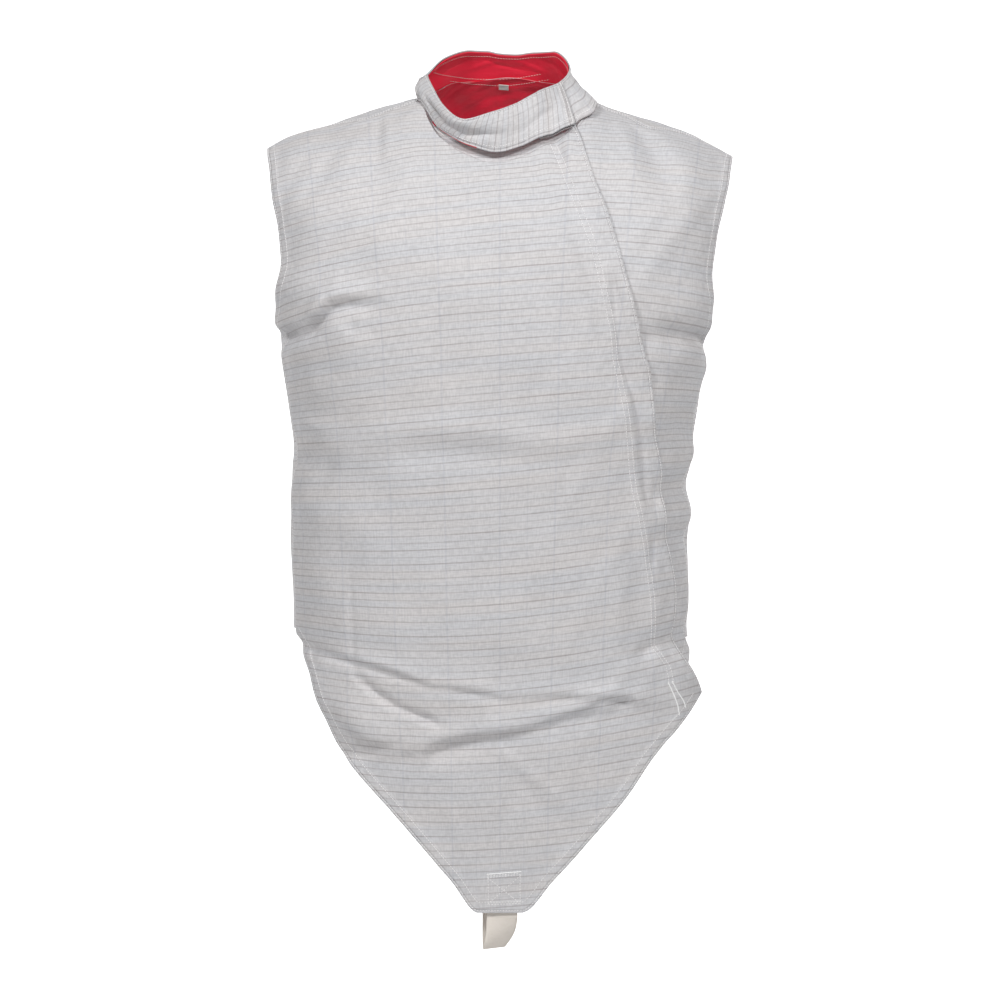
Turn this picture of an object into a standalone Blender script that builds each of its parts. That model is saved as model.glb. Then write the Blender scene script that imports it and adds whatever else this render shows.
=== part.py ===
"""Fencing lame: a sleeveless over-vest of metallic cloth, filled out as if worn.

The vest is hollow. Its front faces -Y, the wearer's left is +X and +Z is up.
The origin lies between the shoulders, at the height of the side of the neck.
Sizes are in metres, and the tables below are in millimetres.
"""
import math

import bmesh
import bpy
from mathutils import Vector

MM = 0.001
NAME = "fencing_lame"

# Cloth
WALL = 1.6 * MM
LINING_WALL = 1.0 * MM
LABEL_WALL = 0.8 * MM
STRAP_WALL = 2.0 * MM
SEAM_GAP = 0.3 * MM
SHOULDER_GAP = 0.5 * MM
LAP_GAP = 0.9 * MM
LINING_GAP = 0.6 * MM

# Body of the vest
CHEST = -262 * MM
WAIST_RISE = -238 * MM
SIDE_SEAM_ANGLE = 82.0
ARMHOLE_ANGLE = 72.5
ARMHOLE_RISE = 78 * MM
SHOULDER_HALF = 232 * MM
SHOULDER_REACH = 300 * MM
SHOULDER_RIDGE_Y = 8 * MM
FRONT_ROUND = 2.3
BACK_ROUND = 2.5
UNDERARM = {-1: -237 * MM, 1: -255 * MM}

# Front opening and its lap
LAP_WIDTH = 32 * MM
LAP_LIFT = WALL + LAP_GAP
LAP_SLOPE = 14 * MM
LAP_CLEAR = 1.8 * MM

# Neck
NECK_STAND = 3.0 * MM
COLLAR_GAP_DEGREES = 0.3
LAP_END = 51.0
LAP_END_SLOPE = 6.0

# Size label, from the middle of the back neck
LABEL_LEFT = -1 * MM
LABEL_WIDTH = 10 * MM
LABEL_DROP = 7 * MM
LABEL_TOP = 5 * MM
LABEL_GAP = 0.8 * MM

# Crotch strap
STRAP_WIDTH = 30 * MM

BARE_COLUMNS = ("degrees", "turn", "squareness")

# A fold fades over its tail past both ends, in its own widths, from a share of its rise
FOLD_REACH = 3.0
FOLD_TAIL = 1.5
FOLD_END_SHARE = 0.35


def table(names, *rows):
    """Rows in the order of the first column, as named columns. Lengths go from mm to metres."""
    ordered = sorted(rows, key=lambda row: row[0])
    columns = {}
    for i, name in enumerate(names.split()):
        unit = 1.0 if name in BARE_COLUMNS else MM
        columns[name] = [row[i] * unit for row in ordered]
    return columns


# Half widths and depths of the closed body by height. Squareness 2 is an ellipse, and a
# larger one has fuller corners.
TORSO = table(
    "height right left front back squareness",
    (-262, 215, 203, 130, 124, 2.5),
    (-300, 210.5, 197.5, 129, 122, 2.5),
    (-340, 205.5, 190.5, 127, 117, 2.45),
    (-400, 206, 186.5, 123, 108, 2.4),
    (-460, 206.5, 186.5, 120, 101, 2.4),
    (-530, 204, 186.5, 117, 98, 2.4),
    (-590, 202.5, 203, 113, 98, 2.4),
    (-650, 201, 204, 109, 98, 2.3),
    (-812, 198, 198, 103, 98, 2.2),
)

# Height of the shoulder ridge by place across. Inside the neck the front and back run on apart.
RIDGE = table(
    "across front back",
    (-232, -49, -49),
    (-209, -37, -37),
    (-157, -22, -22),
    (-127, -12, -12),
    (-104, -5, -5),
    (-81, 0, 0),
    (-67, -4, 15),
    (-45, -9, 33),
    (0, -15, 44),
    (45, -10, 33),
    (74, -5, 14),
    (87, -2, -2),
    (108, -9, -9),
    (138, -18, -18),
    (191, -36, -36),
    (232, -57, -57),
)

# Turn of the shoulder seam over the front, in degrees, by place across.
SHOULDER_SEAM = table(
    "across turn",
    (-232, 84),
    (-165, 80),
    (-130, 73),
    (-81, 76),
    (87, 77),
    (120, 77),
    (145, 71),
    (170, 77),
    (232, 84),
)

# Neck edge of the front by its height, and of the back by its turn over the shoulder. Each
# place has its angle round the neck, from the front centre to the wearer's left.
NECK_FRONT = table(
    "across height degrees",
    (-81, -3, -96),
    (-74.5, -13, -68),
    (-58, -36.5, -43),
    (-24, -56, -16),
    (-5, -60, -3),
    (26, -53, 17),
    (48, -44.5, 33),
    (74, -33, 51),
    (83, -22, 68),
    (87, -6, 88),
)
NECK_BACK = table(
    "across turn degrees",
    (-81, 104, 264),
    (-80.3, 97, 261),
    (-78.2, 90, 257),
    (-70, 82, 247),
    (-59, 76, 234),
    (-42, 72, 220),
    (0, 69, 180),
    (42, 72, 140),
    (60, 76, 126),
    (74, 82, 113),
    (84, 90, 102),
    (86.2, 96.5, 96),
    (87, 103, 90),
)

# Free edge of the main front, from the collar to the corner of its wing.
FREE_EDGE = table(
    "height across",
    (-34, 74),
    (-87, 91),
    (-119, 103),
    (-160, 116),
    (-201, 126),
    (-241, 135),
    (-272, 144),
    (-317, 148),
    (-379, 157),
    (-424, 160),
    (-462, 166),
    (-499, 170),
    (-526, 170),
    (-541, 172),
    (-552, 175),
    (-566, 182.5),
    (-590, 195),
)

# Lower edges. The main front comes to a blunt point, where the strap is sewn on.
HEM_MAIN = table(
    "across height",
    (-209, -527),
    (-200, -534),
    (-187, -568),
    (-177, -600),
    (-154, -647),
    (-97.5, -713),
    (-47, -772),
    (-21.5, -802),
    (21.5, -802),
    (52, -771),
    (98, -720),
    (128, -684),
    (151, -650),
    (184.5, -609),
    (195, -590),
)
HEM_SIDE = table("across height", (120, -622), (150, -615), (172, -595), (183, -565), (187, -537))
HEM_BACK = table("across height", (-206, -527), (-100, -542), (0, -546), (100, -543), (188, -536))

# Largest folds: a soft ridge or trough along a bowed line, seen from the front or the back.
FOLD_COLUMNS = "across_1 height_1 across_2 height_2 bow rise width"
FRONT_FOLDS = (
    (-222, -190, -165, -196, 0, 6, 17),
    (-222, -228, -165, -212, -5, -11, 11),
    (-170, -206, -120, -199, 0, -4, 9),
    (-215, -250, -140, -236, 0, 5, 12),
    (212, -205, 165, -205, 0, 6, 16),
    (210, -244, 146, -229, -4, -10, 11),
    (206, -270, 160, -262, 0, 4, 12),
    (-130, -337, 40, -345, 8, 3, 14),
    (40, -345, 130, -322, -4, 3, 14),
    (-120, -358, 60, -366, 8, -3, 14),
    (-205, -300, -150, -320, 0, -4, 17),
    (-206, -345, -150, -372, 0, -4, 16),
    (-206, -390, -150, -420, 0, 3, 18),
    (192, -310, 160, -340, 0, -6, 17),
    (190, -352, 158, -356, 0, 4, 12),
    (190, -383, 152, -392, 0, -7, 13),
    (188, -412, 150, -420, 0, 4, 14),
    (188, -440, 160, -432, 0, -4, 12),
    (190, -520, 128, -550, 0, -4, 14),
    (-200, -538, 170, -588, 10, -3, 9),
    (-150, -600, 100, -592, -30, 7, 20),
    (-100, -668, 150, -607, -18, -7, 17),
    (-160, -640, -80, -632, 0, -3, 10),
    (0, -640, 90, -722, 0, 3, 9),
    (-124, -20, -118, -82, 0, -4, 12),
    (-90, -60, -100, -180, 0, 3, 22),
    (142, -36, 158, -80, 0, -4, 12),
)
BACK_FOLDS = (
    (-215, -228, -150, -236, 0, -7, 12),
    (210, -246, 140, -240, 0, -7, 12),
    (-60, -110, 10, -118, 6, -3, 16),
    (-170, -180, -110, -330, 12, 4, 20),
    (165, -190, 118, -330, -12, 4, 20),
    (-150, -402, 60, -396, -8, -6, 15),
    (-120, -426, 90, -420, -8, 4, 16),
    (20, -452, 150, -440, 6, -4, 14),
    (-190, -470, -120, -500, 0, -4, 16),
    (-60, -480, -40, -546, 0, 3, 20),
    (70, -470, 84, -543, 0, -3, 18),
)

# How far the collar's lower edge flares out past the neck edge on the wearer's left, and how
# far it hangs above the shoulder there.
COLLAR_FLARE = table(
    "degrees out hover",
    (51, 0, 0),
    (58, 1.5, 1),
    (68, 10.5, 3),
    (78, 11, 2.5),
    (86, 5, 1),
    (93, 0, 0.3),
    (245, 0, 0),
    (254, 0, 0.7),
    (261, 0, 0.9),
    (264, 0, 0),
)

# Top edge of the collar by the same degrees, and how far the band swells outwards below it.
COLLAR_TOP = table(
    "degrees across deep height swell",
    (-96, -72.5, 0, 24, 7),
    (-75, -66, -32, 8, 7),
    (-55, -55, -68, -13, 5),
    (-35, -36, -92, -28, 5),
    (-12, -10, -86, -21, 4),
    (10, 14, -78, -12, 3),
    (30, 39, -64, 3, 2),
    (50, 57, -44, 12, 1),
    (75, 67, -18, 24, 0),
    (98, 69, 4, 33, -3),
    (113, 66, 17, 42, -2),
    (128, 54, 29, 51.5, 0),
    (150, 32, 41, 51.5, 2),
    (165, 17, 45, 50, 2),
    (180, 0, 46, 51, 2),
    (195, -14, 45, 53.5, 2),
    (210, -29, 40, 53.5, 3),
    (235, -55, 24, 44, 4),
    (264, -72.5, 0, 24, 7),
)

# The swell peaks above the middle of the band where this is over 1.
COLLAR_SWELL_UP = 1.4

# Slanting trough in the front collar: its ends in degrees, its depth, and its middle and width
# as shares of the band's height.
COLLAR_FOLD = (-78.0, -22.0, -5.0 * MM, 0.52, 0.16)

# Middle line of the crotch strap. It is sewn inside the point of the front, hangs in a short
# curl and runs up to where it is sewn inside the back hem.
STRAP_COLUMNS = "across deep height twist"
STRAP_PATH = (
    (2, -103.0, -762, 0),
    (2, -102.2, -784, 0),
    (2, -101.5, -802, 0),
    (2, -100.9, -808, 3),
    (0, -98.8, -822, 24),
    (-5, -94, -835, 44),
    (-6, -84, -836, 46),
    (-5, -68, -822, 38),
    (-3, -40, -785, 24),
    (-1, 0, -716, 10),
    (0, 38, -640, 4),
    (0, 66, -580, 0),
    (0, 88, -546, 0),
    (0, 95.4, -524, 0),
    (0, 97.6, -492, 0),
)

# Grid steps of the panels
HEM_ROWS = 15
WAIST_ROWS = 14
ARMHOLE_ROWS = 8
SHOULDER_ROWS = 10
SIDE_COLUMNS = 3
SHOULDER_COLUMNS = 7
NECK_COLUMNS = 6
LAP_COLUMNS = 2
BACK_WAIST_ROWS = 11
COLLAR_ROWS = 4
BESIDE_LAP_COLUMNS = 5
LINING_ROWS = 5
LINING_SKIPPED = 3
LINING_START = 0.16
LINING_END = 0.985
STRAP_ROWS = 56

# Lengths up between which a column meets its hem, and its top edge
HEM_REACH = (-600 * MM, -200 * MM)
TOP_REACH = (100 * MM, 700 * MM)
HALVINGS = 40
SEAM_ROUNDS = 4

# Step for slopes and outward directions
NUDGE = 0.5 * MM


def between(low, high, share):
    """The value at a share of the way from low to high."""
    return low + (high - low) * share


def smooth_step(share):
    """A share eased at both ends."""
    share = min(max(share, 0.0), 1.0)
    return share * share * (3 - 2 * share)


def steps(low, high, count):
    """Evenly spaced values from low to high, both included."""
    return [between(low, high, i / count) for i in range(count + 1)]


def read(columns, key, name, at):
    """A column's value at a place in the key column, on a curve through the rows."""
    places = columns[key]
    values = columns[name]
    if at <= places[0]:
        return values[0]
    if at >= places[-1]:
        return values[-1]
    i = 0
    while places[i + 1] < at:
        i += 1
    width = places[i + 1] - places[i]
    share = (at - places[i]) / width
    slopes = [row_slope(places, values, j) for j in (i, i + 1)]
    square = share * share
    cube = square * share
    return (
        values[i] * (2 * cube - 3 * square + 1)
        + slopes[0] * width * (cube - 2 * square + share)
        + values[i + 1] * (3 * square - 2 * cube)
        + slopes[1] * width * (cube - square)
    )


def row_slope(places, values, i):
    """Slope of the curve at a row: none at a peak, otherwise the gentler mean of its sides."""
    if i == 0 or i == len(places) - 1:
        j = min(i, len(places) - 2)
        return (values[j + 1] - values[j]) / (places[j + 1] - places[j])
    before = (values[i] - values[i - 1]) / (places[i] - places[i - 1])
    after = (values[i + 1] - values[i]) / (places[i + 1] - places[i])
    if before * after <= 0:
        return 0.0
    return 2 * before * after / (before + after)


def ring_point(angle, height):
    """A point of the closed body at an angle from the front centre, in radians."""
    side = "left" if math.sin(angle) > 0 else "right"
    face = "front" if math.cos(angle) > 0 else "back"
    half = read(TORSO, "height", side, height)
    depth = read(TORSO, "height", face, height)
    power = read(TORSO, "height", "squareness", height)
    spread = abs(math.sin(angle) / half) ** power + abs(math.cos(angle) / depth) ** power
    radius = spread ** (-1 / power)
    return Vector((radius * math.sin(angle), -radius * math.cos(angle), height))


def make_girth():
    """Length round the chest from the front centre, for each degree to both sides."""
    lengths = {0: 0.0}
    for sign in (-1, 1):
        for degree in range(1, 181):
            here = ring_point(math.radians(sign * degree), CHEST)
            before = ring_point(math.radians(sign * (degree - 1)), CHEST)
            lengths[sign * degree] = lengths[sign * (degree - 1)] + sign * (here - before).length
    return lengths


GIRTH = make_girth()


def girth_at(degrees):
    """Length round the chest at an angle in degrees."""
    low = math.floor(degrees)
    low = min(max(low, -180), 179)
    return between(GIRTH[low], GIRTH[low + 1], degrees - low)


def angle_at(around):
    """Angle in radians at a length round the chest."""
    low = -180
    high = 179
    while low < high:
        middle = (low + high + 1) // 2
        if GIRTH[middle] <= around:
            low = middle
        else:
            high = middle - 1
    share = (around - GIRTH[low]) / (GIRTH[low + 1] - GIRTH[low])
    return math.radians(low + share)


def shoulder_flare(across, share_up):
    """How far a column spreads sideways on its way up to the shoulder."""
    edge = ring_point(math.radians(math.copysign(ARMHOLE_ANGLE, across)), CHEST)
    return 1 + (SHOULDER_HALF / abs(edge.x) - 1) * share_up


def ring_depth(across, face):
    """Depth of the chest ring at a place across it."""
    half = read(TORSO, "height", "left" if across > 0 else "right", CHEST)
    depth = read(TORSO, "height", face, CHEST)
    power = read(TORSO, "height", "squareness", CHEST)
    inside = max(1 - abs(across / half) ** power, 0.0)
    return (depth if face == "back" else -depth) * inside ** (1 / power)


def arch_point(across, depth, face, turn):
    """A point on the way from the chest over the shoulder, turned by radians from the chest."""
    if turn > math.pi / 2:
        face = "front" if face == "back" else "back"
        depth = ring_depth(across, face)
        turn = math.pi - turn
    power = 2 / (FRONT_ROUND if face == "front" else BACK_ROUND)
    share_up = math.sin(turn) ** power
    share_out = max(math.cos(turn), 0.0) ** power
    x = across * shoulder_flare(across, share_up)
    top = read(RIDGE, "across", face, x)
    y = between(SHOULDER_RIDGE_Y, depth, share_out)
    return Vector((x, y, between(CHEST, top, share_up)))


def body_point(around, rise):
    """Inner face of the cloth: length round the chest, and length up from the chest line."""
    angle = angle_at(around)
    if rise <= 0:
        return ring_point(angle, CHEST + rise)
    base = ring_point(angle, CHEST)
    face = "front" if math.cos(angle) > 0 else "back"
    return arch_point(base.x, base.y, face, rise / SHOULDER_REACH * math.pi / 2)


def place(across, height, face):
    """Where a point seen from the front or back lies: length round, and length up."""
    sign = -1 if face == "front" else 1
    rise = height - CHEST
    if rise <= 0:
        half = read(TORSO, "height", "left" if across > 0 else "right", height)
        depth = read(TORSO, "height", face, height)
        power = read(TORSO, "height", "squareness", height)
        deep = depth * max(1 - abs(across / half) ** power, 0.0) ** (1 / power)
        return girth_at(math.degrees(math.atan2(across, -sign * deep))), rise
    top = read(RIDGE, "across", face, across)
    share_up = min(rise / (top - CHEST), 1.0)
    ring_across = across / shoulder_flare(across, share_up)
    deep = ring_depth(ring_across, face)
    turn = math.asin(share_up ** ((FRONT_ROUND if face == "front" else BACK_ROUND) / 2))
    around = girth_at(math.degrees(math.atan2(ring_across, -deep)))
    return around, turn / (math.pi / 2) * SHOULDER_REACH


BACK_CENTRE = {sign: girth_at(sign * 180) for sign in (-1, 1)}


def on_face(around, rise, face):
    """A place as lengths from the centre of the front or of the back."""
    if face == "back":
        around -= BACK_CENTRE[1 if around > 0 else -1]
    return Vector((around, rise))


def fold_line(row, face):
    """A fold's face, ends, bow, rise and width in the cloth's own lengths."""
    fold = dict(zip(FOLD_COLUMNS.split(), (value * MM for value in row)))
    start = on_face(*place(fold["across_1"], fold["height_1"], face), face)
    end = on_face(*place(fold["across_2"], fold["height_2"], face), face)
    return face, start, end, fold["bow"], fold["rise"], fold["width"]


FOLDS = [fold_line(row, "front") for row in FRONT_FOLDS]
FOLDS += [fold_line(row, "back") for row in BACK_FOLDS]


def fold_rise(around, rise):
    """How far the folds lift the cloth at a place, or sink it."""
    total = 0.0
    for face, start, end, bow, height, width in FOLDS:
        here = on_face(around, rise, face)
        line = end - start
        length = line.length
        along = (here - start).dot(line) / length
        past = max(-along, along - length, 0.0)
        if past > FOLD_REACH * width:
            continue
        share = min(max(along / length, 0.0), 1.0)
        across = Vector((-line.y, line.x)).dot(here - start) / length
        across -= bow * 4 * share * (1 - share)
        reach = (across / width) ** 2 + (past / (FOLD_TAIL * width)) ** 2
        swell = between(FOLD_END_SHARE, 1.0, math.sin(math.pi * share))
        total += height * math.exp(-reach) * swell
    return total


def outward(around, rise):
    """The body's outward direction at a place."""
    round_way = body_point(around + NUDGE, rise) - body_point(around - NUDGE, rise)
    up_way = body_point(around, rise + NUDGE) - body_point(around, rise - NUDGE)
    return round_way.cross(up_way).normalized()


def cloth_point(around, rise, lift=0.0):
    """Inner face of the folded cloth, lifted off the body by a layer beneath it."""
    away = fold_rise(around, rise) + lift
    return body_point(around, rise) + outward(around, rise) * away


def edge_table(columns, face, key):
    """An edge given by its place across and height, in the cloth's own lengths."""
    pairs = [place(x, z, face) for x, z in zip(columns["across"], columns["height"])]
    pairs.sort(key=lambda pair: pair[key])
    return {"around": [pair[0] for pair in pairs], "rise": [pair[1] for pair in pairs]}


def chest_around(across, face):
    """Length round the chest at a place across it."""
    return girth_at(math.degrees(math.atan2(across, -ring_depth(across, face))))


FREE = edge_table(FREE_EDGE, "front", 1)
NECK_EDGE = edge_table(NECK_FRONT, "front", 0)
MAIN_EDGE = edge_table(HEM_MAIN, "front", 0)
SIDE_EDGE = edge_table(HEM_SIDE, "front", 0)
SIDE_SEAM = {sign: girth_at(sign * SIDE_SEAM_ANGLE) for sign in (-1, 1)}
ARMHOLE_X = {
    sign: ring_point(math.radians(sign * ARMHOLE_ANGLE), CHEST).x for sign in (-1, 1)
}
ARMHOLE = {
    (sign, face): chest_around(ARMHOLE_X[sign], face)
    for sign in (-1, 1)
    for face in ("front", "back")
}


def free_edge(rise):
    """Length round to the main front's free edge."""
    return read(FREE, "rise", "around", rise)


def seam_rise(around, face):
    """Length up to the shoulder seam on a column, from the front or from the back."""
    ring_across = ring_point(angle_at(around), CHEST).x
    turn = SHOULDER_SEAM["turn"][0]
    for _ in range(SEAM_ROUNDS):
        share_up = math.sin(math.radians(turn)) ** (2 / FRONT_ROUND)
        across = ring_across * shoulder_flare(ring_across, share_up)
        turn = read(SHOULDER_SEAM, "across", "turn", across)
    if face == "back":
        turn = 180 - turn
    return turn / 90 * SHOULDER_REACH


def ring_across(across, turn, roundness):
    """Place across the chest ring of a point on the way over the shoulder."""
    share_up = math.sin(math.radians(turn)) ** (2 / roundness)
    return across / shoulder_flare(across, share_up)


def neck_side_across(sign):
    """Place across the chest of the column that meets the shoulder seam beside the neck."""
    across = NECK_FRONT["across"][0] if sign < 0 else NECK_FRONT["across"][-1]
    return ring_across(across, read(SHOULDER_SEAM, "across", "turn", across), FRONT_ROUND)


NECK_SIDE_X = {sign: neck_side_across(sign) for sign in (-1, 1)}
NECK_SIDE = {
    (sign, face): chest_around(NECK_SIDE_X[sign], face)
    for sign in (-1, 1)
    for face in ("front", "back")
}


def neck_columns(sign, face):
    """Lengths round of the columns from the side of the neck to the centre, closer at the side."""
    side = NECK_SIDE[sign, face]
    centre = 0.0 if face == "front" else BACK_CENTRE[sign]
    turns = steps(0.0, math.pi / 2, NECK_COLUMNS)
    if face == "back":
        turns.insert(1, turns[1] / 2)
    return [between(centre, side, math.cos(turn)) for turn in turns]


def shoulder_columns(sign, face):
    """Lengths round of the columns that meet the shoulder seam, from the armhole to the neck."""
    places = steps(ARMHOLE_X[sign], NECK_SIDE_X[sign], SHOULDER_COLUMNS)
    return [chest_around(across, face) for across in places]


def front_top(around):
    """Length up to the front's top edge: armhole, shoulder seam or neck."""
    sign = -1 if around < 0 else 1
    if abs(around) > abs(ARMHOLE[sign, "front"]) + NUDGE * MM:
        return armhole_rise(around, sign)
    if abs(around) >= abs(NECK_SIDE[sign, "front"]):
        return seam_rise(around, "front") - SHOULDER_GAP / 2
    seam = seam_rise(NECK_SIDE[sign, "front"], "front") - SHOULDER_GAP / 2
    return min(read(NECK_EDGE, "around", "rise", around), seam)


def armhole_rise(around, sign):
    """Length up to the lower curve of the armhole, between its front and back edges."""
    middle = girth_at(sign * 90)
    front = abs(ARMHOLE[sign, "front"] - middle)
    back = abs(ARMHOLE[sign, "back"] - middle)
    away = abs(around) - abs(middle)
    share = min(abs(away) / (front if away < 0 else back), 1.0)
    low = UNDERARM[sign] - CHEST
    return between(low, ARMHOLE_RISE, 1 - math.sqrt(1 - share * share))


def lap_lift(around, rise):
    """Lift of the main front where it laps over the side front."""
    inner = free_edge(rise) - LAP_WIDTH
    return LAP_LIFT * smooth_step((around - inner + LAP_SLOPE + LAP_CLEAR) / LAP_SLOPE)


def meet(around_of, edge_of, reach):
    """Length up at which a column, whose length round changes, meets an edge."""
    low, high = reach
    for _ in range(HALVINGS):
        middle = (low + high) / 2
        if middle < edge_of(around_of(middle)):
            low = middle
        else:
            high = middle
    return (low + high) / 2


def column_levels(around_of, hem_of, top_of, short, rows):
    """Lengths up of a column's points, row by row. A short column ends at the armhole."""
    hem_rows, waist_rows, armhole_rows, shoulder_rows = rows
    bottom = meet(around_of, hem_of, HEM_REACH)
    levels = []
    if hem_rows:
        levels += steps(bottom, WAIST_RISE, hem_rows)[:-1]
        bottom = WAIST_RISE
    levels += steps(bottom, 0.0, waist_rows)[:-1]
    if short:
        return levels + steps(0.0, top_of(around_of(0.0)), armhole_rows)
    levels += steps(0.0, ARMHOLE_RISE, armhole_rows)[:-1]
    top = meet(around_of, top_of, TOP_REACH)
    return levels + steps(ARMHOLE_RISE, top, shoulder_rows)


def new_material(name, colour, roughness, metallic):
    """A plain shader in the piece's own colour."""
    material = bpy.data.materials.new(name)
    material.use_nodes = True
    shader = material.node_tree.nodes["Principled BSDF"]
    shader.inputs["Base Color"].default_value = (*colour, 1.0)
    shader.inputs["Roughness"].default_value = roughness
    shader.inputs["Metallic"].default_value = metallic
    return material


def new_piece(name, bm, material):
    """An object of the vest's collection, made from a bmesh."""
    mesh = bpy.data.meshes.new(name)
    bm.to_mesh(mesh)
    bm.free()
    mesh.materials.append(material)
    mesh.shade_smooth()
    piece = bpy.data.objects.new(name, mesh)
    bpy.data.collections[NAME].objects.link(piece)
    return piece


def thicken(piece, wall):
    """Give an open surface its wall, outwards from its own points."""
    solid = piece.modifiers.new("Wall", "SOLIDIFY")
    solid.thickness = abs(wall)
    solid.offset = 1.0 if wall > 0 else -1.0
    return piece


def sheet(columns):
    """An open surface through columns of points, which may be of unlike lengths."""
    bm = bmesh.new()
    grid = [[bm.verts.new(point) for point in column] for column in columns]
    for left, right in zip(grid, grid[1:]):
        for row in range(min(len(left), len(right)) - 1):
            bm.faces.new((left[row], right[row], right[row + 1], left[row + 1]))
    return bm


def panel(column_makers, hem_of, top_of, rows, lift_of=None):
    """Columns of cloth points between a hem and a top edge."""
    columns = []
    for around_of, short in column_makers:
        points = []
        for rise in column_levels(around_of, hem_of, top_of, short, rows):
            around = around_of(rise)
            lift = lift_of(around, rise) if lift_of else 0.0
            points.append(cloth_point(around, rise, lift))
        columns.append(points)
    return sheet(columns)


def still(around):
    """A column that keeps its length round."""
    return lambda rise: around


def share_of_lap(share):
    """A column at a share of the way from the front centre to the lap's inner edge."""
    return lambda rise: (free_edge(rise) - LAP_WIDTH) * share


def lap_column(share):
    """A column at a share of the way across the lap."""
    return lambda rise: free_edge(rise) - LAP_WIDTH * (1 - share)


MAIN_NECK_COLUMNS = [still(around) for around in neck_columns(-1, "front")[:-1]]
MAIN_NECK_COLUMNS += [share_of_lap(share) for share in steps(0.0, 1.0, NECK_COLUMNS)[:-1]]
MAIN_NECK_COLUMNS += [lap_column(share) for share in steps(0.0, 1.0, LAP_COLUMNS)]


def main_front(material):
    """Chest, right shoulder and pointed hem, with the free edge that laps to the left."""
    side = SIDE_SEAM[-1] + SEAM_GAP / 2
    armhole = ARMHOLE[-1, "front"]
    makers = [(still(around), True) for around in steps(side, armhole, SIDE_COLUMNS)[:-1]]
    makers += [(still(around), False) for around in shoulder_columns(-1, "front")[:-1]]
    makers += [(column, False) for column in MAIN_NECK_COLUMNS]
    rows = (HEM_ROWS, WAIST_ROWS, ARMHOLE_ROWS, SHOULDER_ROWS)

    def hem(around):
        return read(MAIN_EDGE, "around", "rise", around)

    bm = panel(makers, hem, front_top, rows, lap_lift)
    return thicken(new_piece("main_front", bm, material), WALL)


def side_column(share):
    """A column of the side front between the lap and the armhole, or below it the side seam."""
    armhole = ARMHOLE[1, "front"]
    below = (armhole - free_edge(0.0)) / (SIDE_SEAM[1] - free_edge(0.0))

    def around_of(rise):
        edge = free_edge(rise)
        if rise >= 0:
            return between(edge, armhole, share)
        return between(edge, between(edge, SIDE_SEAM[1], below), share)

    return around_of


def side_shares():
    """Shares across the side front of its columns, so that they meet the back's at the seam."""
    armhole = ARMHOLE[1, "front"]
    edge = free_edge(FREE["rise"][-1])
    shares = [(around - edge) / (armhole - edge) for around in shoulder_columns(1, "front")]
    shares.reverse()
    turns = steps(math.asin(edge / NECK_SIDE[1, "front"]), math.pi / 2, BESIDE_LAP_COLUMNS)
    near = [(NECK_SIDE[1, "front"] * math.sin(turn) - edge) / (armhole - edge) for turn in turns]
    return near[:-1] + shares


def under_column(share):
    """A column of the side front below the armhole, beside the side seam."""
    armhole = side_column(1.0)
    side = SIDE_SEAM[1] - SEAM_GAP / 2
    return lambda rise: between(armhole(min(rise, 0.0)), side, share)


UNDER_LAP_COLUMNS = [lap_column(share) for share in steps(0.0, 1.0, LAP_COLUMNS)[:-1]]


def left_side_front(material):
    """Left shoulder and side, reaching under the main front's free edge."""
    makers = [(column, False) for column in UNDER_LAP_COLUMNS]
    makers += [(side_column(share), False) for share in side_shares()]
    makers += [(under_column(share), True) for share in steps(0.0, 1.0, SIDE_COLUMNS)[1:]]
    rows = (HEM_ROWS // 2, WAIST_ROWS, ARMHOLE_ROWS, SHOULDER_ROWS)

    def hem(around):
        return read(SIDE_EDGE, "around", "rise", around)

    bm = panel(makers, hem, front_top, rows)
    return thicken(new_piece("left_side_front", bm, material), WALL)


def back_edge(sign):
    """The back neck on one side, in the cloth's own lengths from the back centre."""
    pairs = []
    for across, turn in zip(NECK_BACK["across"], NECK_BACK["turn"]):
        if across * sign >= 0:
            around = chest_around(ring_across(across, turn, BACK_ROUND), "back")
            pairs.append((abs(around), turn / 90 * SHOULDER_REACH))
    pairs.sort()
    return {"around": [pair[0] for pair in pairs], "rise": [pair[1] for pair in pairs]}


BACK_NECK = {sign: back_edge(sign) for sign in (-1, 1)}
BACK_HEM = {
    sign: sorted(
        (abs(place(x, z, "back")[0]), z - CHEST)
        for x, z in zip(HEM_BACK["across"], HEM_BACK["height"])
        if x * sign >= 0
    )
    for sign in (-1, 1)
}


def back_top(around):
    """Length up to the back's top edge: armhole, shoulder seam or neck."""
    sign = -1 if around < 0 else 1
    if abs(around) < abs(ARMHOLE[sign, "back"]) - NUDGE * MM:
        return armhole_rise(around, sign)
    if abs(around) <= abs(NECK_SIDE[sign, "back"]):
        return seam_rise(around, "back") - SHOULDER_GAP / 2
    return read(BACK_NECK[sign], "around", "rise", abs(around))


def back_hem(around):
    """Length up to the back's hem."""
    sign = -1 if around < 0 else 1
    rows = BACK_HEM[sign]
    columns = {"around": [row[0] for row in rows], "rise": [row[1] for row in rows]}
    return read(columns, "around", "rise", abs(around))


def back_half(sign):
    """Columns of one half of the back, from its side seam to the back centre."""
    side = SIDE_SEAM[sign] + sign * SEAM_GAP / 2
    armhole = ARMHOLE[sign, "back"]
    makers = [(still(around), True) for around in steps(side, armhole, SIDE_COLUMNS * 2)[:-1]]
    makers += [(still(around), False) for around in shoulder_columns(sign, "back")[:-1]]
    makers += [(still(around), False) for around in neck_columns(sign, "back")]
    return makers


BACK_ROWS = (0, BACK_WAIST_ROWS, ARMHOLE_ROWS, SHOULDER_ROWS + 2)


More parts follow.
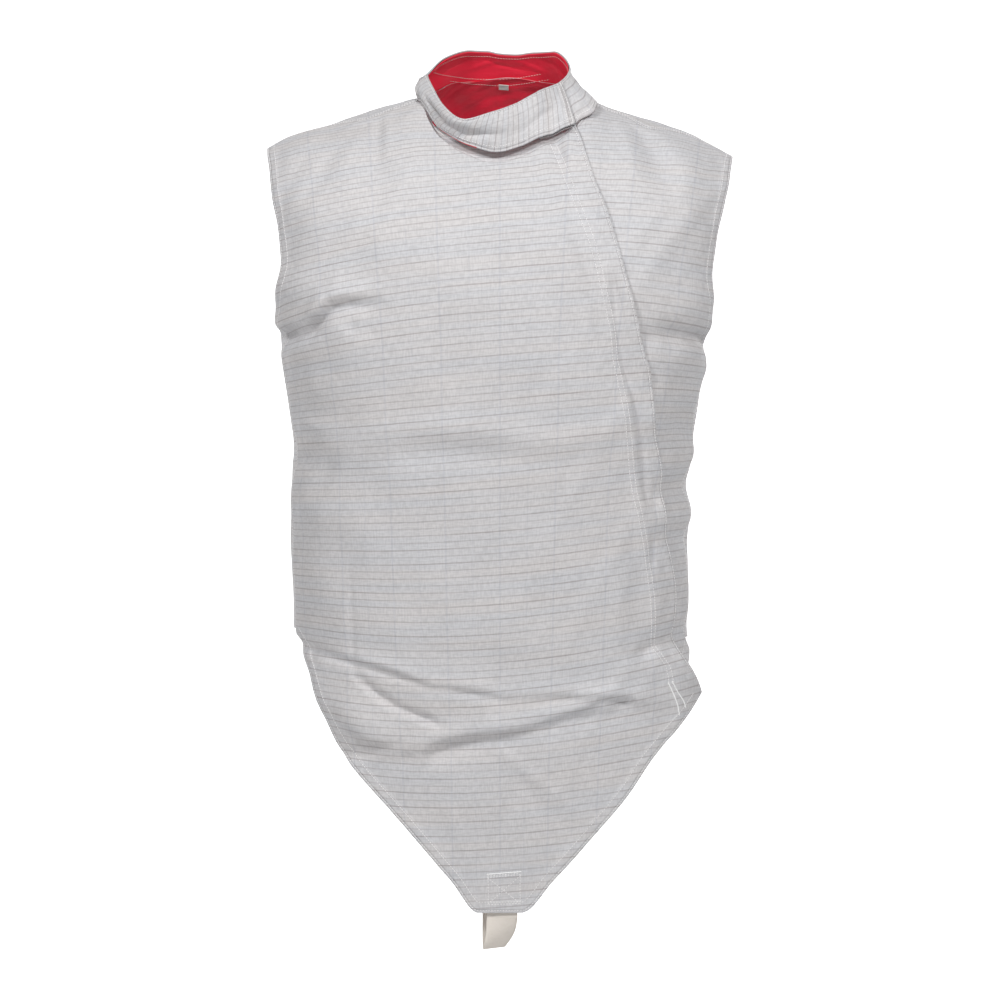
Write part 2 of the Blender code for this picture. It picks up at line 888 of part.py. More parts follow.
def back(material):
    """The plain back panel, from the waist over the shoulders to their seams."""
    makers = back_half(1) + back_half(-1)[::-1][1:]
    bm = panel(makers, back_hem, back_top, BACK_ROWS)
    return thicken(new_piece("back", bm, material), WALL)


def neck_spot(around_of, face, lapped=False):
    """Where a panel's column carries the collar, and the body's outward way there."""
    rise = meet(around_of, front_top if face == "front" else back_top, TOP_REACH)
    if face == "back":
        rise -= NECK_STAND * neck_share(around_of(rise))
    around = around_of(rise)
    lift = lap_lift(around, rise) if lapped else 0.0
    edge = NECK_FRONT if face == "front" else NECK_BACK
    return {
        "degrees": read(edge, "across", "degrees", body_point(around, rise).x),
        "point": cloth_point(around, rise, lift),
        "out": outward(around, rise),
        "lift": lift,
    }


def neck_share(around):
    """Share of the way of a back column from the side of the neck to the back centre."""
    sign = -1 if around < 0 else 1
    side = NECK_SIDE[sign, "back"]
    return (around - side) / (BACK_CENTRE[sign] - side)


def turned(spot, degrees):
    """A spot moved along the collar by degrees, at the collar's top only."""
    moved = dict(spot)
    moved["degrees"] += degrees
    return moved


def collar_base(spot, inward, tucked):
    """Lower edge of the collar's inner face. A tucked one stands on the panel's edge."""
    past = spot["degrees"] - LAP_END
    over = smooth_step(past / LAP_END_SLOPE) if tucked else 1.0
    base = spot["point"] + spot["out"] * (WALL + SEAM_GAP) * over
    if tucked:
        beyond = WALL * (1 - smooth_step(past / LAP_END_SLOPE - 1))
        flare = read(COLLAR_FLARE, "degrees", "out", spot["degrees"])
        base += inward * (beyond - flare)
        base.z += read(COLLAR_FLARE, "degrees", "hover", spot["degrees"])
    return base


def collar_point(spot, base, share):
    """Inner face of the collar, at a share of its height."""
    degrees = spot["degrees"]
    names = ("across", "deep", "height", "swell")
    x, y, z, swell = (read(COLLAR_TOP, "degrees", name, degrees) for name in names)
    level = Vector((x, y, 0.0)).normalized()
    start, end, depth, middle, width = COLLAR_FOLD
    along = (degrees - start) / (end - start)
    fold = 0.0
    if 0 < along < 1:
        fold = depth * math.sin(math.pi * along) * math.exp(-(((share - middle) / width) ** 2))
    away = swell * math.sin(math.pi * share ** COLLAR_SWELL_UP) + fold
    top = Vector((x, y, z)) + level * spot["lift"]
    return base.lerp(top, share) + level * away


def band(spots, shares, tucked=False):
    """Columns of collar points on the ends of the panels' columns."""
    columns = []
    for i, spot in enumerate(spots):
        before = spots[max(i - 1, 0)]["point"]
        after = spots[min(i + 1, len(spots) - 1)]["point"]
        inward = spot["out"].cross(after - before).normalized()
        base = collar_base(spot, inward, tucked)
        columns.append([collar_point(spot, base, share) for share in shares])
    return columns


def moved_out(columns, distance):
    """Columns of points moved along the surface's own outward direction."""
    moved = []
    for i, column in enumerate(columns):
        before = columns[max(i - 1, 0)]
        after = columns[min(i + 1, len(columns) - 1)]
        points = []
        for row, point in enumerate(column):
            round_way = after[row] - before[row]
            up_way = column[min(row + 1, len(column) - 1)] - column[max(row - 1, 0)]
            points.append(point + round_way.cross(up_way).normalized() * distance)
        moved.append(points)
    return moved


COLLAR_SHARES = steps(0.0, 1.0, COLLAR_ROWS)


def front_spots():
    """Where the main front carries its collar, from the right shoulder to the free edge."""
    spots = [neck_spot(column, "front", lapped=True) for column in MAIN_NECK_COLUMNS]
    return [turned(spots[0], COLLAR_GAP_DEGREES)] + spots[1:]


def back_spots():
    """Where the side front and the back carry theirs, from under the lap to the right shoulder."""
    sides = [side_column(share) for share in side_shares()[:BESIDE_LAP_COLUMNS - 1]]
    spots = [neck_spot(column, "front") for column in UNDER_LAP_COLUMNS + sides]
    backs = neck_columns(1, "back") + neck_columns(-1, "back")[::-1][1:]
    spots += [neck_spot(still(around), "back") for around in backs]
    return spots[:-1] + [turned(spots[-1], -COLLAR_GAP_DEGREES)]


def front_collar(material):
    """Stand collar of the main front. Its square end laps over the left side."""
    bm = sheet(band(front_spots(), COLLAR_SHARES))
    return thicken(new_piece("front_collar", bm, material), WALL)


def back_collar(material):
    """Stand collar of the back and the left side, which ends under the front collar."""
    bm = sheet(band(back_spots(), COLLAR_SHARES, tucked=True))
    return thicken(new_piece("back_collar", bm, material), WALL)


def collar_lining(material):
    """Lining of the collar behind the back and the left side."""
    shares = [LINING_START] + COLLAR_SHARES[1:-1] + [LINING_END]
    bm = sheet(moved_out(band(back_spots(), shares, tucked=True), -LINING_GAP))
    return thicken(new_piece("collar_lining", bm, material), -LINING_WALL)


def lining_columns():
    """Points of the back neck lining, in columns that follow the back's own."""
    columns = []
    halves = [neck_columns(sign, "back")[LINING_SKIPPED:] for sign in (1, -1)]
    for around in halves[0] + halves[1][::-1][1:]:
        levels = column_levels(still(around), back_hem, back_top, False, BACK_ROWS)[-LINING_ROWS:]
        levels[-1] -= 2 * SEAM_GAP
        columns.append([cloth_point(around, rise, -2 * SEAM_GAP) for rise in levels])
    return columns


def back_neck_lining(material):
    """Lining of the back below the neck seam."""
    return thicken(new_piece("back_neck_lining", sheet(lining_columns()), material), -LINING_WALL)


def size_label(material):
    """A bare tab that hangs inside the back neck, on the lining."""
    columns = lining_columns()
    middle = len(columns) // 2
    low, high = columns[middle][-2:]
    beside = columns[middle - 1][-1]
    down = (low - high).normalized()
    across = (beside - high).normalized()
    across = (across - down * across.dot(down)).normalized()
    out = across.cross(down).normalized()
    corner = high - out * (LINING_WALL + LABEL_GAP + LABEL_WALL) + across * LABEL_LEFT
    columns = []
    for side in (LABEL_WIDTH, 0.0):
        top = corner + across * side + down * LABEL_TOP
        columns.append([top + down * LABEL_DROP, top])
    return thicken(new_piece("size_label", sheet(columns), material), LABEL_WALL)


def strap_row(share):
    """Middle and twist of the strap at a share of its length, on a curve through its points."""
    last = len(STRAP_PATH) - 1
    at = share * last
    i = min(int(at), last - 1)
    part = at - i
    rows = [STRAP_PATH[min(max(j, 0), last)] for j in range(i - 1, i + 3)]
    weights = (
        (-part + 2 * part ** 2 - part ** 3) / 2,
        (2 - 5 * part ** 2 + 3 * part ** 3) / 2,
        (part + 4 * part ** 2 - 3 * part ** 3) / 2,
        (-part ** 2 + part ** 3) / 2,
    )
    return [sum(w * row[k] for w, row in zip(weights, rows)) for k in range(4)]


def crotch_strap(material):
    """Webbing from the point of the front, between the legs, to the back hem."""
    columns = ([], [], [])
    for share in steps(0.0, 1.0, STRAP_ROWS):
        x, y, z, twist = strap_row(share)
        turn = math.radians(twist)
        way = Vector((math.cos(turn), math.sin(turn), 0.0))
        middle = Vector((x, y, z)) * MM
        for column, side in zip(columns, (-0.5, 0.0, 0.5)):
            column.append(middle + way * side * STRAP_WIDTH)
    strap = thicken(new_piece("crotch_strap", sheet(columns[::-1]), material), STRAP_WALL)
    strap.modifiers["Wall"].offset = 0.0
    return strap


def main():
    for old in list(bpy.data.objects):
        bpy.data.objects.remove(old)
    collection = bpy.data.collections.new(NAME)
    bpy.context.scene.collection.children.link(collection)
    lame = new_material("metallic_cloth", (0.63, 0.61, 0.62), 0.5, 0.25)
    lame_up = new_material("metallic_cloth_upright", (0.60, 0.58, 0.59), 0.5, 0.25)
    lining = new_material("red_nylon", (0.45, 0.012, 0.024), 0.42, 0.0)
    white = new_material("white_tape", (0.8, 0.8, 0.78), 0.7, 0.0)
    webbing = new_material("webbing", (0.69, 0.64, 0.58), 0.75, 0.0)
    main_front(lame)
    left_side_front(lame)
    back(lame)
    front_collar(lame_up)
    back_collar(lame)
    collar_lining(lining)
    back_neck_lining(lining)
    size_label(white)
    crotch_strap(webbing)


main()
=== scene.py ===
"""Fencing lame: the finished cloth of a sleeveless over-vest, filled out as if worn.

The vest's front faces -Y, the wearer's left is +X and +Z is up. Sizes are in metres, and the
tables are in millimetres. Each panel is a fine shell on the same surface as its solid, with the
small folds, hems, puckers and rows of stitches added. The fronts also sink in below the collar.
"""

import math
from functools import partial

import bpy
import numpy as np
from bpy.props import FloatProperty, PointerProperty
from bpy.types import Operator, Panel, PropertyGroup
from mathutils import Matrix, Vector
from mathutils.kdtree import KDTree


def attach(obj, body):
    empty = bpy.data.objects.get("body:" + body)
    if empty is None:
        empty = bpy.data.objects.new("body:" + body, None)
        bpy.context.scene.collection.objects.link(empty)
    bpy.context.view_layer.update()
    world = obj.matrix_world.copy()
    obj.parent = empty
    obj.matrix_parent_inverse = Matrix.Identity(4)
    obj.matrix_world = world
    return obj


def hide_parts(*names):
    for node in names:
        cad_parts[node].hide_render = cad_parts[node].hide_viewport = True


bl_info = {
    "name": "Fencing lame",
    "version": (1, 0, 0),
    "blender": (4, 5, 0),
    "location": "3D View > Sidebar > Vest",
    "description": "Makes the cloth, linings, stitching and strap of a fencing lame",
    "category": "Add Mesh",
}

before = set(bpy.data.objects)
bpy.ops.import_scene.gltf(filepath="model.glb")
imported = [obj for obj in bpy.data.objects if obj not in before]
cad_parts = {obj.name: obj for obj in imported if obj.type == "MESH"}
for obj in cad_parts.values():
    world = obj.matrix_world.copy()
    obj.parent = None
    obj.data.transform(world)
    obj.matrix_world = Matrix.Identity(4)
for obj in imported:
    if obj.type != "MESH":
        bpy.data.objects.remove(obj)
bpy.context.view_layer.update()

MM = 0.001

# Body of the vest
WALL = 1.6 * MM
CHEST = -262 * MM
WAIST_RISE = -238 * MM
SIDE_SEAM_ANGLE = 82.0
ARMHOLE_ANGLE = 72.5
ARMHOLE_RISE = 78 * MM
SHOULDER_HALF = 232 * MM
SHOULDER_REACH = 300 * MM
SHOULDER_RIDGE_Y = 8 * MM
FRONT_ROUND = 2.3
BACK_ROUND = 2.5
UNDERARM = {-1: -237 * MM, 1: -255 * MM}

# Gaps at the seams, and the lap of the main front over the left side
SEAM_GAP = 0.3 * MM
SHOULDER_GAP = 0.5 * MM
LINING_GAP = 0.6 * MM
LINING_WALL = 1.0 * MM
LAP_WIDTH = 32 * MM
LAP_LIFT = WALL + 0.9 * MM
LAP_SLOPE = 14 * MM
LAP_CLEAR = 1.8 * MM

# Neck
NECK_STAND = 3.0 * MM
COLLAR_GAP_DEGREES = 0.3
LAP_END = 51.0
LAP_END_SLOPE = 6.0

# Size label and strap
LABEL_LEFT = -1 * MM
LABEL_WIDTH = 10 * MM
LABEL_DROP = 7 * MM
LABEL_TOP = 5 * MM
LABEL_GAP = 0.8 * MM
LABEL_WALL = 0.5 * MM
LABEL_AWAY = 0.3 * MM
LABEL_BOW = 0.25 * MM
LABEL_WAVES = (500, 300)
LABEL_DROP_SHARE = 1 / 12
LABEL_SIDE_TURN = math.radians(75)
STRAP_WIDTH = 30 * MM
STRAP_WALL = 2.0 * MM
STRAP_POINTS = (220, 11)

# Linings: shares of the collar's height, and where the lining starts higher under its flare
LINING_END = 0.985
LINING_START = 0.4
LINING_POINTS = 34
FLARE_END = 92.0
FLARE_FADE = 24.0
NECK_LINING_FOLD = 0.5 * MM
NECK_LINING_TUCK = 1.5 * MM
NECK_LINING_LOW = 0.61
NECK_LINING_WALL = 0.4 * MM
NECK_LINING_POINTS = 28
NECK_LINING_LENGTH = 0.1
NECK_LINING_WAVES = (210, 260, 90)

# Pattern of the cloth, rows of a collar band, and where red shows at the front collar's edge
UPRIGHT_PITCH = 28.4 * MM
FRONT_COLLAR_PITCH = 5.7 * MM
COLLAR_ROWS = 40
COLLAR_SHARES = np.linspace(0.0, 1.0, COLLAR_ROWS + 1)
LINING_SHOWS = (-61 * MM, -24 * MM)

# Each piece's estimated cut: its width and length in metres, and its area in square metres
CUTS = {
    "main_front": ((0.50, 0.87), 0.30),
    "left_side_front": ((0.23, 0.66), 0.078),
    "back": ((0.63, 0.66), 0.33),
    "front_collar": ((0.055, 0.235), 0.0095),
    "back_collar": ((0.055, 0.36), 0.0145),
    "collar_lining": ((0.05, 0.35), 0.012),
    "back_neck_lining": ((0.055, 0.17), 0.0075),
    "size_label": ((0.010, 0.010), 0.00008),
    "crotch_strap": ((0.03, 0.49), None),
}

# Lengths up between which a column meets its hem, and its top edge
HEM_REACH = (-600 * MM, -200 * MM)
TOP_REACH = (100 * MM, 700 * MM)
HALVINGS = 40
NUDGE = 0.5 * MM

BARE_COLUMNS = ("degrees", "turn", "squareness")


def table(names, *rows):
    """Rows in the order of the first column, as named columns. Lengths go from mm to metres."""
    values = np.array(sorted(rows), float)
    names = names.split()
    return {
        name: values[:, i] * (1.0 if name in BARE_COLUMNS else MM)
        for i, name in enumerate(names)
    }


# Half widths and depths of the closed body by height
TORSO = table(
    "height right left front back squareness",
    (-262, 215, 203, 130, 124, 2.5),
    (-300, 210.5, 197.5, 129, 122, 2.5),
    (-340, 205.5, 190.5, 127, 117, 2.45),
    (-400, 206, 186.5, 123, 108, 2.4),
    (-460, 206.5, 186.5, 120, 101, 2.4),
    (-530, 204, 186.5, 117, 98, 2.4),
    (-590, 202.5, 203, 113, 98, 2.4),
    (-650, 201, 204, 109, 98, 2.3),
    (-812, 198, 198, 103, 98, 2.2),
)
RIDGE = table(
    "across front back",
    (-232, -49, -49), (-209, -37, -37), (-157, -22, -22), (-127, -12, -12), (-104, -5, -5),
    (-81, 0, 0), (-67, -4, 15), (-45, -9, 33), (0, -15, 44), (45, -10, 33), (74, -5, 14),
    (87, -2, -2), (108, -9, -9), (138, -18, -18), (191, -36, -36), (232, -57, -57),
)
SHOULDER_SEAM = table(
    "across turn",
    (-232, 84), (-165, 80), (-130, 73), (-81, 76), (87, 77), (120, 77), (145, 71), (170, 77),
    (232, 84),
)
NECK_FRONT = table(
    "across height degrees",
    (-81, -3, -96), (-74.5, -13, -68), (-58, -36.5, -43), (-24, -56, -16), (-5, -60, -3),
    (26, -53, 17), (48, -44.5, 33), (74, -33, 51), (83, -22, 68), (87, -6, 88),
)
NECK_BACK = table(
    "across turn degrees",
    (-81, 104, 264), (-80.3, 97, 261), (-78.2, 90, 257), (-70, 82, 247), (-59, 76, 234),
    (-42, 72, 220), (0, 69, 180), (42, 72, 140), (60, 76, 126), (74, 82, 113), (84, 90, 102),
    (86.2, 96.5, 96), (87, 103, 90),
)
FREE_EDGE = table(
    "height across",
    (-34, 74), (-87, 91), (-119, 103), (-160, 116), (-201, 126), (-241, 135), (-272, 144),
    (-317, 148), (-379, 157), (-424, 160), (-462, 166), (-499, 170), (-526, 170), (-541, 172),
    (-552, 175), (-566, 182.5), (-590, 195),
)
HEM_MAIN = table(
    "across height",
    (-209, -527), (-200, -534), (-187, -568), (-177, -600), (-154, -647), (-97.5, -713),
    (-47, -772), (-21.5, -802), (21.5, -802), (52, -771), (98, -720), (128, -684), (151, -650),
    (184.5, -609), (195, -590),
)
HEM_SIDE = table("across height", (120, -622), (150, -615), (172, -595), (183, -565), (187, -537))
HEM_BACK = table("across height", (-206, -527), (-100, -542), (0, -546), (100, -543), (188, -536))
COLLAR_FLARE = table(
    "degrees out hover",
    (51, 0, 0), (58, 1.5, 1), (68, 10.5, 3), (78, 11, 2.5), (86, 5, 1), (93, 0, 0.3), (245, 0, 0),
    (254, 0, 0.7), (261, 0, 0.9), (264, 0, 0),
)
COLLAR_TOP = table(
    "degrees across deep height swell",
    (-96, -72.5, 0, 24, 7),
    (-75, -66, -32, 8, 7),
    (-55, -55, -68, -13, 5),
    (-35, -36, -92, -28, 5),
    (-12, -10, -86, -21, 4),
    (10, 14, -78, -12, 3),
    (30, 39, -64, 3, 2),
    (50, 57, -44, 12, 1),
    (75, 67, -18, 24, 0),
    (98, 69, 4, 33, -3),
    (113, 66, 17, 42, -2),
    (128, 54, 29, 51.5, 0),
    (150, 32, 41, 51.5, 2),
    (165, 17, 45, 50, 2),
    (180, 0, 46, 51, 2),
    (195, -14, 45, 53.5, 2),
    (210, -29, 40, 53.5, 3),
    (235, -55, 24, 44, 4),
    (264, -72.5, 0, 24, 7),
)
COLLAR_SWELL_UP = 1.4

# Middle of the strap: across, deep and height in mm, and its turn about the upright in degrees
STRAP_PATH = (
    (2, -103.0, -762, 0), (2, -102.2, -784, 0), (2, -101.5, -802, 0),
    (2, -100.9, -808, 3), (0, -98.8, -822, 24), (-5, -94, -835, 44),
    (-6, -84, -836, 46), (-5, -68, -822, 38), (-3, -40, -785, 24),
    (-1, 0, -716, 10), (0, 38, -640, 4), (0, 66, -580, 0),
    (0, 88, -546, 0), (0, 95.4, -524, 0), (0, 97.6, -492, 0),
)

# Folds as bowed lines seen from outside, in mm: across and height of the first point, the same
# of the second one, bow, rise, and the widths over which it fades on its left and on its right.
FRONT_FOLDS = (
    # Underarms
    (-226, -190, -165, -196, 0, 6, 17, 17), (-226, -236, -176, -233, -3, -11, 7, 7),
    (-226, -229, -180, -228, 0, 4.5, 14, 3.5), (-187, -228, -163, -206, 0, 7, 9, 3.4),
    (-185, -235, -162, -213, 0, -7, 3.4, 5), (-167, -206, -124, -202, 1, 4.4, 9, 3.2),
    (-167, -212, -124, -208, 1, -4.6, 3.2, 5), (-170, -218, -120, -214, 0, -1.6, 6, 9),
    (-215, -250, -140, -236, 0, 4, 12, 12), (-180, -240, -168, -232, 0, 2.2, 5, 4),
    (-150, -228, -136, -236, 0, -2.4, 5, 5), (-205, -262, -178, -246, 0, 2.6, 6, 5),
    (-136, -232, -118, -240, 0, -1.4, 5, 4), (212, -205, 165, -205, 0, 6, 16, 16),
    (212, -248, 146, -238, -3, -9, 7, 7), (212, -240, 158, -233, -2, 4.0, 3.2, 12),
    (206, -270, 160, -262, 0, 4, 12, 12), (180, -238, 152, -226, 2, -2.6, 5, 6),
    (200, -252, 176, -254, 0, 2.5, 5, 6),
    # Chest and waist
    (-130, -337, 40, -345, 8, 3, 14, 14), (40, -345, 130, -322, -4, 3, 14, 14),
    (-120, -358, 60, -366, 8, -3, 14, 14), (-60, -236, 20, -232, 2, -0.8, 9, 7),
    (-205, -300, -150, -320, 0, -4, 17, 17), (-206, -345, -150, -372, 0, -4, 16, 16),
    (-206, -390, -150, -420, 0, 3, 18, 18), (-200, -322, -168, -330, 0, 3.0, 8, 5),
    (-204, -366, -176, -352, 0, -3.4, 6, 6), (192, -310, 160, -340, 0, -6, 17, 17),
    (190, -352, 158, -356, 0, 4, 12, 12), (190, -383, 152, -392, 0, -7, 13, 13),
    (188, -412, 150, -420, 0, 4, 14, 14), (188, -440, 160, -432, 0, -4, 12, 12),
    (190, -520, 128, -550, 0, -4, 14, 14), (116, -440, 114, -545, 2, 1.6, 12, 12),
    # Hip creases and the main ridge
    (-200, -538, -140, -561, 0, -4.4, 5, 5), (-142, -555, -70, -577, 2, 2.8, 8, 3.2),
    (-142, -560, -70, -581, 2, -2.8, 3.2, 6), (-70, -577, 8, -590, 1, 2.4, 8, 3.2),
    (-60, -583, 8, -594, 1, -2.4, 3.2, 6), (8, -589, 118, -593, 3, 2.0, 7, 3.2),
    (30, -596, 118, -597, 3, -2.2, 3.2, 6), (108, -594, 130, -600, 0, -5.0, 4, 5),
    (-200, -538, 170, -588, 10, -1.2, 12, 12), (-138, -574, -96, -605, -2, -5.4, 6, 4),
    (-96, -604, -60, -618, 0, -5.4, 5, 4), (-160, -602, -94, -640, -6, 8.0, 22, 12),
    (-90, -674, -68, -634, 0, 3.2, 8, 5), (-70, -635, -19, -625, 0, 4.6, 14, 3.6),
    (-25, -626, 36, -617, -1, 4.6, 14, 3.4), (32, -618, 73, -604, 0, 4.4, 12, 3.4),
    (70, -606, 103, -590, 0, 4.0, 11, 3.4), (100, -590, 158, -599, 0, 2.8, 10, 3.4),
    (-100, -652, -30, -634, -4, -5.5, 6, 14), (-40, -637, 40, -620, -4, -3.8, 5, 16),
    (40, -615, 150, -610, 3, -3.8, 6, 14), (-150, -648, -100, -640, 2, -4.4, 5, 7),
    (0, -645, 92, -722, 0, 3.2, 6, 6), (20, -670, 40, -700, 0, -1.8, 8, 5),
    (80, -638, 82, -664, 0, -2.4, 3, 3), (-60, -690, -30, -740, 0, 1.4, 12, 10),
    (12, -690, -6, -760, 0, -1.2, 10, 12), (166, -535, 128, -553, 0, -2.2, 6, 5),
    (-146, -470, -143, -574, 1, -1.6, 4, 4),
    # Crease between the flap's sewn rows and its edge
    (108, -180, 115, -242, 0, -3.4, 4, 4), (114, -238, 131, -305, 1, -4.2, 4, 4),
    (130, -300, 137, -350, 0, -4.2, 4, 4), (136, -345, 142, -400, 0, -3.4, 4, 4),
    (146, -432, 147, -465, 0, -2.8, 4, 4),
    # Shoulders, and the top of the lap
    (52, -42, 62, -84, 0, -4.0, 4, 5), (66, -40, 71, -76, 0, 4.2, 5, 6),
    (-124, -20, -118, -82, 0, -4, 12, 12), (-112, -12, -111, -62, 0, 2.2, 5, 5),
    (-128, -24, -126, -60, 0, 1.6, 6, 4), (-90, -60, -100, -180, 0, 3, 22, 22),
    (142, -36, 158, -80, 0, -4, 12, 12), (120, -26, 128, -80, 0, 1.8, 8, 6),
    (-170, -46, -168, -100, 0, -1.2, 12, 12), (186, -60, 180, -130, 0, 1.6, 14, 14),
    (100, -50, 112, -130, 0, -1.5, 10, 10),
)
BACK_FOLDS = (
    (-215, -228, -150, -236, 0, -7, 12, 12), (-214, -216, -160, -222, 0, 3, 4, 12),
    (212, -247, 140, -240, 0, -9, 8, 8), (212, -236, 156, -232, 0, 3, 4, 10),
    (-60, -110, 10, -118, 6, -3, 16, 16), (-70, -96, 40, -101, 6, 1.6, 4, 10),
    (-170, -180, -110, -330, 12, 4, 20, 20), (165, -190, 118, -330, -12, 4, 20, 20),
    (-150, -402, 60, -396, -8, -6, 15, 15), (-150, -388, 70, -383, -8, 2.6, 4, 14),
    (-120, -426, 90, -420, -8, 4, 16, 16), (20, -452, 150, -440, 6, -4, 14, 14),
    (26, -441, 150, -430, 6, 2.0, 4, 10), (-190, -470, -120, -500, 0, -4, 16, 16),
    (-60, -480, -40, -546, 0, 3, 20, 20), (70, -470, 84, -543, 0, -3, 18, 18),
    (-190, -300, -150, -330, 0, -3, 8, 10), (186, -330, 140, -352, 0, -3, 9, 8),
    (-178, -360, -120, -372, 0, 2.4, 8, 5), (-120, -60, -124, -130, 0, -3, 9, 12),
    (128, -62, 136, -140, 0, -3, 12, 9), (-40, -230, 50, -244, 5, -1.6, 9, 14),
)
FOLD_REACH = 3.0
FOLD_TAIL = 1.5
FOLD_END_SHARE = 0.35

# How far a stripe of the cloth stands above its place at its panel's centre, by height
STRIPES_MAIN = table(
    "height far_right right mid_right mid_left left far_left",
    (0, -34, -16, -6, 5, 12, 16),
    (-60, -30, -14, -6, 5, 12, 16),
    (-140, -31, -14, -5.5, 4, 11, 15),
    (-220, -31, -10, -3, 4.5, 13, 17),
    (-340, -13, -8, -4.5, 5, 15, 20),
    (-460, -2, -2.5, -2.3, 5.5, 18, 27),
    (-540, 9, 0, -2, 5.5, 19, 30),
    (-620, 16, 4, -1, 7, 20, 29),
    (-740, 16, 5, 1, 7, 18, 24),
)
STRIPES_SIDE = table(
    "height far_right right mid_right mid_left left far_left",
    (0, 0, 0, 0, 2, 0, -6),
    (-140, 0, 0, 0, 2, 1, -4),
    (-240, 0, 0, 0, 0, -3, -9),
    (-300, 0, 0, 0, 2, -2, 0),
    (-340, 0, 0, 0, 3, 9, 12),
    (-460, 0, 0, 0, 3, 13, 18),
    (-620, 0, 0, 0, 3, 15, 22),
)
STRIPES_BACK = table(
    "height far_right right mid_right mid_left left far_left",
    (0, -20, -10, -3, -3, -9, -18),
    (-140, -22, -10, -3, -2, -8, -20),
    (-240, -18, -7, -2, -1, -6, -16),
    (-400, -6, -3, -1, 1, 3, 5),
    (-546, 0, -1, 0, 1, 4, 8),
)

# How much closer together the stripes show towards the shoulders, by height
STRIPE_SHARES = {
    "height": np.array((-600, -180, -140, -100, -60, -30)) * MM,
    "share": np.array((1.0, 1.0, 1.05, 1.14, 1.28, 1.38)),
}
STRIPE_PLACES = np.array((-205, -120, -50, 50, 120, 180)) * MM
STRIPE_MARGIN = 20 * MM
CENTRE_REACH = (-560 * MM, 290 * MM)
CENTRE_POINTS = 600
SEAM_ROUNDS = 4


def between(low, high, share):
    """The value at a share of the way from low to high."""
    return low + (high - low) * share


def smooth_step(share):
    """Shares eased at both ends."""
    share = np.clip(share, 0.0, 1.0)
    return share * share * (3 - 2 * share)


def row_slopes(places, values):
    """Slopes of the curve at its rows: none at a peak, otherwise the gentler mean of its sides."""
    steep = np.diff(values) / np.diff(places)
    before, after = steep[:-1], steep[1:]
    turns = before * after <= 0
    mean = 2 * before * after / np.where(turns, 1.0, before + after)
    return np.concatenate([steep[:1], np.where(turns, 0.0, mean), steep[-1:]])


def read(columns, key, name, at):
    """A column's values at places in the key column, on a curve through the rows."""
    places, values = np.asarray(columns[key]), np.asarray(columns[name])
    at = np.clip(at, places[0], places[-1])
    i = np.clip(np.searchsorted(places, at) - 1, 0, len(places) - 2)
    slopes = row_slopes(places, values)
    width = places[i + 1] - places[i]
    share = (at - places[i]) / width
    square = share * share
    cube = square * share
    return (
        values[i] * (2 * cube - 3 * square + 1)
        + slopes[i] * width * (cube - 2 * square + share)
        + values[i + 1] * (3 * square - 2 * cube)
        + slopes[i + 1] * width * (cube - square)
    )


def unit(vectors):
    """Vectors made one metre long."""
    return vectors / np.linalg.norm(vectors, axis=-1, keepdims=True)


def ring_point(angle, height):
    """Points of the closed body at angles from the front centre, in radians."""
    sine, cosine = np.sin(angle), np.cos(angle)
    left, right, front, back, power = (
        read(TORSO, "height", name, height)
        for name in ("left", "right", "front", "back", "squareness")
    )
    half = np.where(sine > 0, left, right)
    depth = np.where(cosine > 0, front, back)
    radius = (np.abs(sine / half) ** power + np.abs(cosine / depth) ** power) ** (-1 / power)
    return np.stack([radius * sine, -radius * cosine, height + 0 * radius], axis=-1)


def make_girth(degrees):
    """Length round the chest from the front centre, at each of the degrees."""
    points = ring_point(np.radians(degrees), CHEST)
    steps = np.linalg.norm(np.diff(points, axis=0), axis=1)
    lengths = np.concatenate([[0.0], np.cumsum(steps)])
    return lengths - np.interp(0.0, degrees, lengths)


DEGREES = np.arange(-184.0, 185.0)
GIRTH = make_girth(DEGREES)


def girth_at(degrees):
    """Length round the chest at angles in degrees."""
    return np.interp(degrees, DEGREES, GIRTH)


def angle_at(around):
    """Angles in radians at lengths round the chest."""
    return np.radians(np.interp(around, GIRTH, DEGREES))


ARMHOLE_X = {
    sign: float(ring_point(math.radians(sign * ARMHOLE_ANGLE), CHEST)[0]) for sign in (-1, 1)
}


def shoulder_flare(across, share_up):
    """How far columns spread sideways on their way up to the shoulder."""
    edge = np.where(np.asarray(across) < 0, -ARMHOLE_X[-1], ARMHOLE_X[1])
    return 1 + (SHOULDER_HALF / edge - 1) * share_up


def ring_depth(across, front):
    """Depth of the chest ring at places across it, on the front where that is true."""
    left, right, fore, aft, power = (
        read(TORSO, "height", name, CHEST)
        for name in ("left", "right", "front", "back", "squareness")
    )
    inside = np.clip(1 - np.abs(across / np.where(across > 0, left, right)) ** power, 0.0, None)
    return np.where(front, -fore, aft) * inside ** (1 / power)


